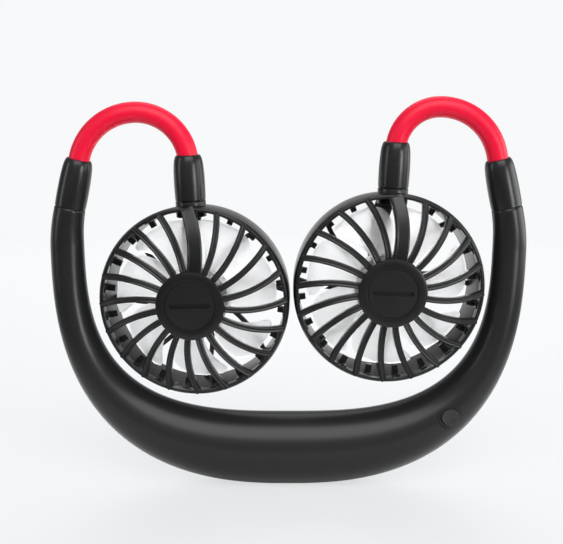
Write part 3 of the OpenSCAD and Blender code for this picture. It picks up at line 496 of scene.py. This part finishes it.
# ---- Goosenecks and hose sleeves ----
# A wound steel gooseneck carries each fan, and a matt red silicone sleeve covers it from deep in
# the arm collar to inside the fan collar. Each is two lengths that meet at the top of the bend.
silicone_red = moulded("silicone red", (0.7, 0.004, 0.034), 0.38, grain=1800, depth=0.000012,
                       drift=0.1, Subsurface_Weight=0.15, Subsurface_Radius=(0.003, 0.0005, 0.0005),
                       Subsurface_Scale=0.4, Specular_IOR_Level=0.25)
joints = {joint["name"]: joint for joint in frame["record"]["behaviour"]["joints"]}
head_r, stem_lean = 36.0, np.radians(2.6)
neck_top, collar_seam = head_r + 1.1, 0.3
arm_seat, fan_seat = 4.95, 2.6
collar_mouth = neck_top + collar_seam + 16.9
stem_l = collar_mouth - fan_seat
sleeve_bore, lead_bore, lead_r = 2.2, 1.05, 0.5
winding_h, winding_pitch = 0.12, 1.2
hose_straight = {"left": 0.1, "right": 2.1}
rise_share = {"left": 0.53, "right": 0.572}


def hose_line(name, half):
    """Middle line of a hose as (u, z), u outwards: a short straight from the arm collar, a bend up
    and over to the top (half 0), or a tighter bend from there down into the fan collar (half 1)."""
    up_arm = np.array([-np.sin(arm_tilt), np.cos(arm_tilt)])
    tip = seam_mid + arm_collar_l * up_arm
    head = np.abs(np.array(joints[f"{name}_head_swivel"]["pos_m"])[[0, 2]]) / MM
    end = head + stem_l * np.array([np.sin(stem_lean), np.cos(stem_lean)])
    foot = tip + hose_straight[name] * up_arm
    width = foot[0] - end[0]
    rise = width * rise_share[name] / np.cos(arm_tilt)
    fall = width * (1 - rise_share[name]) / np.cos(stem_lean)
    up = foot - rise * np.array([np.cos(arm_tilt), np.sin(arm_tilt)])
    down = up + [0, rise - fall]
    if half:
        turn = np.linspace(np.pi / 2, np.pi - stem_lean, 61)[:, None]
        return down + fall * np.concatenate([np.cos(turn), np.sin(turn)], axis=1)
    turn = np.linspace(arm_tilt, np.pi / 2, 61)[:, None]
    low = tip - arm_seat * up_arm
    straight = low + (foot - low) * np.linspace(0, 1, 9)[:-1, None]
    bend = up + rise * np.concatenate([np.cos(turn), np.sin(turn)], axis=1)
    return np.concatenate([straight, bend])


def swept(line, radius, side, sides=40):
    """Rings of points round a flat line: at each point the ring stands square to the way on, with
    one axis in the line's plane and the other front to back. The radius may vary along it."""
    way = np.gradient(line, axis=0)
    way /= np.linalg.norm(way, axis=1, keepdims=True)
    turn = np.linspace(0, 2 * np.pi, sides, endpoint=False)
    radius = np.broadcast_to(radius, len(line))[:, None]
    across = radius * np.cos(turn)
    return np.stack([side * (line[:, :1] - way[:, 1:] * across), radius * np.sin(turn),
                     line[:, 1:] + way[:, :1] * across], axis=-1)


def pipe(line, outer, inner, side):
    """A pipe's wall: the outer rings and the inner ones, joined by a flat ring at each end."""
    outside, inside = swept(line, outer, side), swept(line, inner, side)
    ends = [(np.stack([outside[k], inside[k]]), False, True) for k in (0, -1)]
    return [(outside, False, True), (inside, False, True), *ends]


# Each length is listed with two bodies and the two points of its line that end its bend; they are
# worked out here but bind it to nothing.
for name, side in (("left", -1), ("right", 1)):
    for half, word, bodies, ends in ((0, "rise", ("neckband", f"{name}_hose"), (8, 50)),
                                     (1, "fall", (f"{name}_hose", f"{name}_stem"), (22, -10))):
        line = hose_line(name, half)
        length = np.concatenate([[0], np.cumsum(np.linalg.norm(np.diff(line, axis=0), axis=1))])
        sleeve = skin(f"{name}_hose_sleeve_{word}", pipe(line, hose_d / 2, sleeve_bore, side),
                      silicone_red, sharp=50)
        along = np.linspace(0, length[-1], 4 * len(line))
        fine = np.stack([np.interp(along, length, line[:, k]) for k in (0, 1)], axis=-1)
        windings = core_d / 2 - winding_h + winding_h * np.cos(along * 2 * np.pi / winding_pitch)
        core = skin(f"{name}_gooseneck_{word}", pipe(fine, windings, lead_bore, side),
                    brushed_steel, sharp=60)
        wire = skin(f"{name}_motor_lead_{word}", [(swept(line, lead_r, side, 16), False, True)],
                    red_wire)
        bend_from, bend_to = ((side * line[k, 0] * MM, 0, line[k, 1] * MM) for k in ends)
        for made, node, slot in ((sleeve, "hose_sleeve", "silicone"), (core, "gooseneck", "steel"),
                                 (wire, "motor_leads", "wire")):
            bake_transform(made)
            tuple(bend_from)
            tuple(bend_to)
            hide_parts(f"{name}_{node}")
    finish(f"{name}_gooseneck_tip", brushed_steel)

# ---- Fan collars ----
# The same kind of glossy sleeve, upside down over the fan: it swallows the hose's end, and its
# flanged spigot turns in the fan's neck, a hair's breadth under it.
neck_r, swivel_r, swivel_flange_r, swivel_low, swivel_top = 5.7, 3.4, 4.5, -3.6, -2.0
lead_way, core_floor, hose_floor = 1.15, 7.6, 14.3
fan_collar_out = bowed([(neck_r, 0.28), (neck_r + 0.07, 3), (neck_r + 0.1, 7), (neck_r, 10.5),
                        (5.48, 13.6), (5.2, 15.2), (4.85, 16.3)]) + [0, neck_top + collar_seam]
fan_collar_line = np.array([
    (lead_way, swivel_low), (swivel_flange_r, swivel_low), (swivel_flange_r, swivel_top),
    (swivel_r, swivel_top), (swivel_r, collar_seam), (neck_r - 0.25, collar_seam),
    *(fan_collar_out - [0, neck_top]), (4.66, 16.85), (4.45, 17.1), (socket_r + 0.12, 17.18),
    (socket_r, 17.0), (socket_r, hose_floor), (core_bore, hose_floor), (core_bore, core_floor),
    (lead_way, core_floor)]) + [0, neck_top]


def head_axes(name):
    """Centre, right, up and front of a fan head, from its swivel and its spin joint."""
    centre = np.array(joints[f"{name}_head_swivel"]["pos_m"]) / MM
    up = np.array(joints[f"{name}_head_swivel"]["axis"], float)
    front = np.array(joints[f"{name}_fan_spin"]["axis"], float)
    up, front = up / np.linalg.norm(up), front / np.linalg.norm(front)
    return centre, np.cross(up, front), up, front


def on_stem(name):
    """Stem frame: z up the stem from the head's centre."""
    centre, right, up, front = head_axes(name)
    return lambda p: centre + p[..., :1] * right - p[..., 1:2] * front + p[..., 2:] * up


def on_face(name):
    """Face frame: x right, y up the stem, z out of the fan's face."""
    centre, right, up, front = head_axes(name)
    return lambda p: centre + p[..., :1] * right + p[..., 1:2] * up + p[..., 2:] * front


for name in ("left", "right"):
    collar = skin(f"{name}_fan_collar_skin", moved(turned(fan_collar_line, 128), on_stem(name)),
                  collar_black)
    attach(collar, f"{name}_stem")
    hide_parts(f"{name}_fan_collar")

# ---- Rear grilles ----
# The round casing with its open back in one black moulding: a drum that tapers to the rear, a
# small hub, eight thin swept ribs and a wide arm that runs up behind the neck.
grille_black = moulded("grille black", (0.006, 0.006, 0.0065), 0.3, grain=2600, depth=0.000012,
                       Specular_IOR_Level=0.35)
casing_wall, split_z, casing_rear = 1.9, 5.0, -9.0
rear_rib_count, rear_rib_half, arm_half = 8, 0.9, 3.5
rib_twist = np.radians(8.7)


def rounded(corners, radius, steps=4):
    """A closed outline with its corners rounded: each corner becomes a short parabola that
    starts and ends the radius away along its two sides."""
    corners = np.asarray(corners, float)
    back, ahead = np.roll(corners, 1, axis=0) - corners, np.roll(corners, -1, axis=0) - corners
    def step(way):
        """The radius along a side, or nearly half the side where that is shorter."""
        length = np.linalg.norm(way, axis=1, keepdims=True)
        return way / length * np.minimum(radius, 0.45 * length)
    t = np.linspace(0, 1, steps + 1)[None, :, None]
    start, end = corners + step(back), corners + step(ahead)
    arc = (1 - t) ** 2 * start[:, None] + 2 * t * (1 - t) * corners[:, None] + t ** 2 * end[:, None]
    return arc.reshape(-1, 2)


def polar(radius, angle, height):
    """A point of the face frame at a radius and an angle round the fan's axis, at a height."""
    return np.array([radius * np.cos(angle), radius * np.sin(angle), height])


def bent_bar(a, b, c, section, widths, beyond=0.0, steps=40):
    """A rib along the circle through three points, whose middle is where the chords' upright
    bisectors meet. Its section, in (side, front) coordinates with a half width of one, keeps its
    front turned out of the face; widths are scaled from the root to the end, and the stretch
    beyond c closes to a round end."""
    u, v = b - a, c - a
    n = np.cross(u, v)
    middle = a + (np.cross(n, u) * (v @ v) + np.cross(v, n) * (u @ u)) / (2 * (n @ n))
    normal, radius = n / np.linalg.norm(n), np.linalg.norm(a - middle)
    start, out = (a - middle) / radius, (b - middle) / np.linalg.norm(b - middle)
    arc = np.arccos(start @ (c - middle) / radius)
    turn = np.linspace(0, arc + beyond / radius, steps)[:, None]
    radial = start * np.cos(turn) + np.cross(normal, start) * np.sin(turn)
    lean = np.arctan2(normal[2], out[2])
    front = radial * np.cos(lean) + normal * np.sin(lean)
    side = -radial * np.sin(lean) + normal * np.cos(lean)
    share = np.clip(turn / arc, 0, None)
    over = np.clip((turn - arc) * radius / max(beyond, 1e-6), 0, 1)
    wide = widths[0] + (widths[1] - widths[0]) * share
    close = np.sqrt(np.clip(1 - over ** 2 * 0.97, 0.02, 1))
    line = middle + radial * radius
    grid = (line[:, None] + side[:, None] * (wide * close)[..., None] * section[None, :, :1]
            + front[:, None] * close[..., None] ** 0.6 * section[None, :, 1:])
    ends = [(np.stack([grid[k], np.broadcast_to(grid[k].mean(axis=0), grid[k].shape)]), False, True)
            for k in (0, -1)]
    return [(grid, False, True), *ends]


rear_section = rounded([(-1, -0.8), (1, -0.8), (1, 0.8), (-1, 0.8)], 0.3, 3)
drum_line = rounded([(head_r - 0.9 - casing_wall, casing_rear), (head_r - 0.9, casing_rear),
                     (head_r, split_z - 0.05), (head_r - casing_wall, split_z - 0.05)], 0.35, 3)
rear_hub = [(0, -11), *disc(9.0, -11.0, -9.4, 0.45)[1:-1], (0, -9.4)]


def half_neck(facing):
    """Half of the neck's cage, front (1) or rear (-1): a block round the stem with a bore for the
    collar's flange and a narrower one for its spigot."""
    outline = rounded([(1.1, -5.8), (5.7, -5.8), (5.7, 0), (3.46, 0), (3.46, -1.7), (4.8, -1.7),
                       (4.8, -3.9), (1.1, -3.9)], 0.15, 2) + [0, neck_top]
    turn = np.radians(np.linspace(0, 180, 49))[:, None]
    radius, height = outline[None, :, 0], outline[None, :, 1]
    grid = np.stack([radius * np.cos(turn), height + 0 * turn, facing * radius * np.sin(turn)],
                    axis=-1)
    half = len(outline) // 2
    flat = [(np.stack([grid[k, :half], grid[k, ::-1][:half]]), False, False) for k in (0, -1)]
    return [(grid, False, True), *flat]


for name in ("left", "right"):
    grids = [*turned(drum_line, 192), *turned(rear_hub, 96), *half_neck(-1)]
    for k in range(rear_rib_count):
        angle = np.pi / 2 + 2 * np.pi / rear_rib_count * k
        wide = arm_half if k == 0 else rear_rib_half
        grids += bent_bar(polar(7.2, angle + 2 * rib_twist, -10.2),
                          polar(21.1, angle + rib_twist, -9.55),
                          polar(head_r - 1.85, angle, -8.2), rear_section, (wide, wide))
    grille = skin(f"{name}_rear_grille_skin", moved(grids, on_face(name)), grille_black)
    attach(grille, f"{name}_head")
    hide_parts(f"{name}_rear_grille")

# ---- Motors and impellers ----
# A flat-backed can motor sits behind the hub. The impeller is one piece of milky, frosted plastic:
# a cup over the motor with seven broad, swept and twisted blades, pressed onto the shaft.
motor_zinc = surface("motor zinc", (0.45, 0.45, 0.46), (0.55, 0.55, 0.56), 1200, 0.35, 0.00001,
                     Metallic=1.0)
blade_white = moulded("frosted blade", (0.98, 0.983, 0.987), 0.4, grain=1500, depth=0.00001,
                      drift=0.04, Subsurface_Weight=1.0, Subsurface_Scale=1.0,
                      Subsurface_Radius=(0.002, 0.002, 0.002), Transmission_Weight=0.7, IOR=1.4)
blade_count, blade_root, blade_l, blade_half_t = 7, 12.0, 18.7, 0.45


def blade(turned_by):
    """A blade as a closed ring of chords: at each radius the chord sweeps back with the square
    of the way out and rises from the trailing to the leading edge, with camber; its thickness
    fades at both edges, and the tip's corners are rounded by shortening the last chords."""
    steps, tip_from, swept_back, camber = 33, 0.78, 16, 0.9
    out = np.linspace(0, 1, steps)[:, None]
    chord = np.concatenate([np.linspace(-1, 1, steps), np.linspace(1, -1, steps)[1:-1]])[None]
    face = np.concatenate([np.ones(steps), -np.ones(steps - 2)])[None]
    chord = np.sin(chord * np.pi / 2)
    tip = np.clip((out - tip_from) / 0.22, 0, 1)
    short = 1 - 0.42 * (1 - np.sqrt(np.clip(1 - tip ** 2, 0, 1)))
    half = chord / 2 * short
    radius = blade_root + blade_l * out
    angle = np.radians(half * (40 + 6 * out) + swept_back * out ** 2) + turned_by
    thick = (blade_half_t * np.sqrt(np.clip(1 - np.abs(chord) ** 5, 0.04, 1))
             * np.sqrt(np.clip(1 - tip ** 6 * 0.96, 0.03, 1)))
    height = -0.25 + half * (8.4 - 1.8 * out) + camber * (1 - 4 * half ** 2) + face * thick
    grid = np.stack([radius * np.cos(angle), radius * np.sin(angle), height], axis=-1)
    near = grid[:, :steps]
    far = np.concatenate([grid[:, :1], grid[:, :steps - 1:-1], grid[:, steps - 1:steps]], axis=1)
    ends = [(np.stack([near[k], far[k]]), False, False) for k in (0, -1)]
    return [(near, False, False), (far, False, False), *ends]


cup_line = rounded([(1.0, -5.1), (12.4, -5.1), (12.4, 4.6), (11.0, 4.6), (11.0, -3.9),
                    (1.0, -3.9)], 0.5, 4)
for name in ("left", "right"):
    grids = turned(cup_line, 128)
    for k in range(blade_count):
        grids += blade(2 * np.pi / blade_count * k)
    impeller = skin(f"{name}_impeller_skin", moved(grids, on_face(name)), blade_white, sharp=45)
    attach(impeller, f"{name}_blades")
    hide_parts(f"{name}_impeller")
    finish(f"{name}_motor", motor_zinc)
    finish(f"{name}_motor_shaft", brushed_steel)

# ---- Front grilles ----
# One moulding again: a rim whose tabs spring into the casing, nineteen ribs that leave the hub,
# bulge forward and end on the rim, and a wide rib that carries the leads down from the neck.
rib_count, rim_front, hub_front, hub_r, ledge_r = 20, 9.0, 15.5, 12.8, 8.8
rib_widths, wide_widths = (1.15, 1.1), (2.65, 2.5)
rib_section = rounded([(-1, -1.3), (1, -1.3), (1, 0.75), (0.6, 1.2), (0.48, 1.2), (0.12, 0.85),
                       (-0.12, 0.85), (-0.48, 1.2), (-0.6, 1.2), (-1, 0.75)], 0.12, 2)
wide_section = rounded([(-1, -1.3), (1, -1.3), (1, 0.75), (0.85, 1.3), (0.74, 1.3), (0.68, 1.1),
                        (-0.84, 1.1), (-1, 0.9)], 0.12, 2)
rim_line = rounded([(head_r - casing_wall, split_z), (head_r, split_z), (head_r, rim_front - 1.7),
                    (head_r - 0.75, rim_front), (head_r - casing_wall, rim_front)], 0.45, 4)
hub_line = [(0, 9.2), (10.0, 9.2), (10.0, 12.1), (ledge_r, 12.1), (ledge_r, 13.3), (9.31, 13.3),
            (9.31, 15.3), (9.4, 15.46), (9.6, hub_front), (hub_r - 0.5, hub_front),
            (hub_r - 0.2, 15.4), (hub_r - 0.05, 15.2), (hub_r, 14.9), (hub_r, 5.35),
            (hub_r - 0.15, 5.2), (10.05, 5.2), (10.05, 8.2), (0, 8.2)]
tab_line = np.array([(-2.15, 0.2), (-2.1, 1.9), (-2.0, 5.0), (-1.7, 5.1), (-1.7, 7.0), (-2.3, 7.0),
                     (-2.3, 5.0), (-2.35, 2.2), (-4.7, 1.9), (-4.7, 0.2)]) + [head_r, 0]
tab_sweep = 3.8
root_r, end_r = 11.8, head_r - casing_wall / 2
root_z, mid_z, end_z = 12.5, 11.7, 8.1
for name in ("left", "right"):
    grids = [*turned(rim_line, 240), (turned(hub_line, 160)[0][0], True, False), *half_neck(1)]
    for k in range(rib_count):
        angle = np.pi / 2 + 2 * np.pi / rib_count * k
        first = k == 0
        grids += bent_bar(polar(root_r, angle - rib_twist, root_z),
                          polar((root_r + end_r) / 2, angle - 0.7 * rib_twist, mid_z),
                          polar(end_r - 0.4 * first, angle, end_z - 0.3 * first),
                          wide_section if first else rib_section,
                          wide_widths if first else rib_widths, beyond=0.9 if first else 0.45)
    for k in range(1, rib_count - 1):
        grids += turned(tab_line, 8, sweep=tab_sweep,
                        start=90 + 360 / rib_count * (k + 0.5) - tab_sweep / 2)
    grille = skin(f"{name}_front_grille_skin", moved(grids, on_face(name)), grille_black)
    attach(grille, f"{name}_head")
    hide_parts(f"{name}_front_grille")

# ---- Motor leads ----
# A red silicone wire runs from the board round the neckband and up each arm, on through the
# gooseneck's bore and the collar, turns under the neck and follows the wide rib to the motor.
def wire_rings(points, sides=16):
    """Rings of a wire along a bowed line in space: each ring's first axis is the last one's, made
    square to the way on, so that the wire doesn't twist."""
    line = bowed(points)
    way = np.gradient(line, axis=0)
    way /= np.linalg.norm(way, axis=1, keepdims=True)
    turn = np.linspace(0, 2 * np.pi, sides, endpoint=False)[:, None]
    first, rings = np.array([0.0, 1.0, 0.3]), []
    for point, ahead in zip(line, way):
        first = first - ahead * (first @ ahead)
        first /= np.linalg.norm(first)
        second = np.cross(ahead, first)
        rings.append(point + lead_r * (np.cos(turn) * first + np.sin(turn) * second))
    return [(np.stack(rings), False, True)]


# Each stop of a route is an angle down the band, the way across it and the depth.
board_to_left = [(55, -4, 0), (62, -7, 4), (75, -10, 4), (90, -10.6, 4), (105, -10, 4),
                 (118, -7, 4), (135, -5, 0), (150, -3.4, 0), (165, -2.8, 0), (180, -2.6, 0)]
board_to_right = [(36, -4, 0), (24, -3.4, 0), (12, -2.8, 0), (0, -2.6, 0)]
lead_turn, lead_level, under_rib = neck_top - 4.46, 6.8, 2.3
for name, side, route in (("left", -1, board_to_left), ("right", 1, board_to_right)):
    in_band = []
    for angle, across, depth in route:
        spot = at_band(angle, across)[0]
        in_band.append((spot[0], depth, spot[1]))
    in_arm = on_arm(side)(np.array([(0, 0, z) for z in (-8.0, 3.0, arm_collar_l - arm_seat)]))
    in_stem = on_stem(name)(np.array([(0, 0, z) for z in (stem_l, stem_l - 9, lead_turn + 2)]))
    behind_rib = [polar(root_r + (end_r - root_r) * s, np.pi / 2 - rib_twist * (1 - s * s),
                        root_z - (root_z - end_z) * s * s - under_rib)
                  for s in (0.8, 0.6, 0.4, 0.2)]
    in_head = on_face(name)(np.array([
        (0, lead_turn + 2, 0), (0, lead_turn, 0.8), (0, lead_turn, 5.4), *behind_rib,
        *(polar(radius, np.pi / 2 - rib_twist, lead_level) for radius in (14.8, 11.0))]))
    for word, points, body in (("band", np.concatenate([in_band, in_arm]), "neckband"),
                               ("stem", in_stem, f"{name}_stem"),
                               ("head", in_head, f"{name}_head")):
        wire = skin(f"{name}_motor_lead_{word}", wire_rings(points), red_wire, sharp=60)
        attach(wire, body)
        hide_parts(f"{name}_motor_leads")

# ---- Scent pads and lids ----
# A felt pad lies in the hub's shallow chamber under a round lid, which a coin turns by its slot
# and two lugs hold under the hub's ledge.
scent_felt = surface("scent felt", (0.62, 0.58, 0.47), (0.74, 0.7, 0.6), 1600, 0.95, 0.0001)
lid_black = moulded("lid black", (0.006, 0.006, 0.0065), 0.36, grain=2600, depth=0.000015,
                    Specular_IOR_Level=0.35)
lid_r, foot_r, foot_low, coin_slot_l, coin_slot_w = 9.25, 7.4, 10.8, 15.3, 1.7
lid_line = [(0, 11.8), (foot_r, 11.8), (foot_r, 13.3), (lid_r - 0.05, 13.3), (lid_r, 13.4),
            (lid_r, 15.22), (lid_r - 0.08, 15.3), (0, 15.3)]
lug_line, lug_sweep = [(5.0, foot_low), (8.5, foot_low), (8.5, 11.8), (5.0, 11.8)], 30
for name in ("left", "right"):
    finish(f"{name}_aroma_pad", scent_felt)
    lid = skin(f"{name}_hub_lid_skin", [(turned(lid_line, 128)[0][0], True, False)], lid_black)
    for angle in (0, 180):
        lug = turned(lug_line, 12, sweep=lug_sweep, start=angle - lug_sweep / 2)
        combined(lid, skin("lug", lug, lid_black), "UNION")
    combined(lid, skin("foot", turned(disc(foot_r, foot_low, 12.5), 96), lid_black), "UNION")
    coin = slot_bar(coin_slot_l, coin_slot_w, 14.3, 16.0)
    combined(lid, skin("coin", coin, lid_black), "DIFFERENCE")
    # The lid is joined and cut upright at the origin and only then set on the fan's face.
    count = len(lid.data.vertices)
    points = np.empty(3 * count, np.float32)
    lid.data.vertices.foreach_get("co", points)
    lid.data.vertices.foreach_set("co", (on_face(name)(points.reshape(-1, 3) / MM) * MM).ravel())
    lid.data.update()
    smooth(lid)
    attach(lid, f"{name}_lid")
    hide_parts(f"{name}_hub_lid")

# ---- Photo studio ----
# One pale sweep is floor and backdrop. Reflections and bounced light see it dull in front, with a
# painted pool of light near the fan, and bright behind with a painted glow that stands in for a lit
# backdrop. A wide soft light hangs overhead in front, small ones stand at the front right and at
# both sides, and two light the back, the lower one without being seen in reflections.
def pale_to_camera(tree, plain, bright):
    """Mixes a plain shader, for light and reflections, with a bright one, which the camera sees,
    also through what lets light pass."""
    path, either, blend = nodes(tree, "ShaderNodeLightPath", "ShaderNodeMath",
                                "ShaderNodeMixShader")
    either.operation = "MAXIMUM"
    wired(tree, (path, "Is Camera Ray", either, 0), (path, "Is Transmission Ray", either, 1),
          (either, 0, blend, 0), (plain, 0, blend, 1), (bright, 0, blend, 2))
    return blend


def ramped(tree, source, output, start, end, low, high):
    """A value carried in a straight line from start and end to low and high, and held beyond."""
    ramp, = nodes(tree, "ShaderNodeMapRange")
    preset((ramp, "From Min", start), (ramp, "From Max", end), (ramp, "To Min", low),
           (ramp, "To Max", high))
    wired(tree, (source, output, ramp, "Value"))
    return ramp


studio_pale = bpy.data.materials.new("studio pale")
studio_pale.use_nodes = True
pale = studio_pale.node_tree
lit = pale.nodes["Principled BSDF"]
dull, painted_backlight_glow, glow, both, wash = nodes(
    pale, "ShaderNodeBsdfDiffuse", "ShaderNodeEmission", "ShaderNodeEmission",
    "ShaderNodeAddShader", "ShaderNodeMixShader")
place, far, parts, level = nodes(
    pale, "ShaderNodeTexCoord", "ShaderNodeVectorMath", "ShaderNodeSeparateXYZ", "ShaderNodeMath")
far.operation, level.operation = "LENGTH", "MULTIPLY"

# In reflections and bounced light: a dull floor with a painted pool of light close to the fan, and
# a painted glow, standing in for a lit backdrop, that rises behind it and is weaker higher up.
painted_light_pool = ramped(pale, far, "Value", 0.12, 0.3, 0.8, 0.05)
behind = ramped(pale, parts, "Y", 0.0, 0.3, 0.0, 1.0)
low_down = ramped(pale, parts, "Z", 0.0, 0.3, 1.1, 0.45)
wired(pale, (place, "Object", far, 0), (place, "Object", parts, 0), (painted_light_pool, 0, dull, "Color"),
      (behind, 0, level, 0), (low_down, 0, level, 1), (level, 0, painted_backlight_glow, "Strength"),
      (dull, 0, both, 0), (painted_backlight_glow, 0, both, 1))

# To the camera: a lit floor, for the fan's shadow, that fades into an even glow further out.
preset((lit, "Base Color", (0.52, 0.54, 0.56, 1)), (lit, "Roughness", 0.6),
       (glow, "Color", (0.93, 0.945, 0.955, 1)))
fade = ramped(pale, far, "Value", 0.12, 0.7, 0.68, 1.0)
wired(pale, (fade, 0, wash, 0), (lit, 0, wash, 1), (glow, 0, wash, 2),
      (pale_to_camera(pale, both, wash), 0, pale.nodes["Material Output"], "Surface"))

floor_near, floor_far, bend_r, wall_top, half_wide, below = -1500, 900, 500, 1800, 2200, 0.05
bend = np.linspace(0, np.pi / 2, 25)
curve = np.stack([floor_far + bend_r * np.sin(bend), bend_r - bend_r * np.cos(bend)], axis=1)
profile = np.concatenate([[(floor_near, 0)], curve, [(floor_far + bend_r, wall_top)]])
sides = np.array([-half_wide, half_wide])[:, None]
grid = np.stack([sides + 0 * profile[None, :, 0], profile[None, :, 0] + 0 * sides,
                 profile[None, :, 1] - below + 0 * sides], axis=-1)
sweep = skin("floor_sweep", [(grid, False, False)], studio_pale)
sweep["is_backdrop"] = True

world = bpy.data.worlds.new("studio")
bpy.context.scene.world = world
world.use_nodes = True
sky = world.node_tree
soft_sky = sky.nodes["Background"]
place, facing, pale_sky = nodes(sky, "ShaderNodeTexCoord", "ShaderNodeVectorMath",
                                "ShaderNodeBackground")
facing.operation = "DOT_PRODUCT"
preset((facing, 1, (0.0, -0.8, 0.6)), (soft_sky, "Color", (0.97, 0.985, 1, 1)),
       (pale_sky, "Color", (0.93, 0.95, 0.97, 1)))
brightness = ramped(sky, facing, "Value", -0.4, 1.0, 0.08, 0.5)
wired(sky, (place, "Generated", facing, 0), (brightness, 0, soft_sky, "Strength"),
      (pale_to_camera(sky, soft_sky, pale_sky), 0, sky.nodes["World Output"], "Surface"))


def softbox(name, place, aim, width, height, power):
    """A rectangular area light that faces the point it is aimed at."""
    lamp = bpy.data.lights.new(name, "AREA")
    lamp.shape, lamp.size, lamp.size_y, lamp.energy = "RECTANGLE", width, height, power
    held = bpy.data.objects.new(name, lamp)
    bpy.context.scene.collection.objects.link(held)
    place, aim = np.array(place, float), np.array(aim, float)
    back = (place - aim) / np.linalg.norm(place - aim)
    right = np.cross([0, 0, 1], back)
    right /= np.linalg.norm(right)
    turn = np.eye(4)
    turn[:3] = np.stack([right, np.cross(back, right), back, place], axis=1)
    held.matrix_world = Matrix(turn.tolist())
    held.visible_camera = False
    return held


softbox("overhead_softbox", (0.13, -0.74, 0.87), (0, 0, 0.05), 1.1, 0.8, 11.5)
softbox("front_strip", (0.74, -0.74, 0.15), (0, 0, 0.1), 0.3, 0.3, 4.0)
softbox("right_softbox", (0.85, 0.05, 0.2), (0.05, 0, 0.09), 0.7, 0.4, 3.4)
softbox("left_strip", (-0.95, -0.3, 0.3), (-0.02, 0, 0.09), 0.14, 0.6, 1.5)
back_light = softbox("back_softbox", (0.0, 1.0, 0.45), (0, 0, 0.08), 0.9, 0.7, 14.0)
back_light.visible_glossy = False
softbox("back_top_softbox", (0.0, 0.6, 1.1), (0, 0, 0.08), 1.0, 0.8, 3.2)

# The camera's place, tilt and lens are fitted to the outlines of the band and of the two rims.
picture_w, focal_px, sensor_w = 563, 893, 36
lens = bpy.data.cameras.new("photo_camera")
lens.sensor_width, lens.lens = sensor_w, sensor_w * focal_px / picture_w
lens.clip_start, lens.clip_end = 0.01, 20
camera = bpy.data.objects.new("photo_camera", lens)
camera.location = (-0.00261, -0.3343, 0.14576)
camera.rotation_euler = (np.radians(79.5), 0, 0)
bpy.context.scene.collection.objects.link(camera)
bpy.context.scene.camera = camera
bpy.context.scene.view_settings.view_transform = "Standard"

low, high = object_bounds()
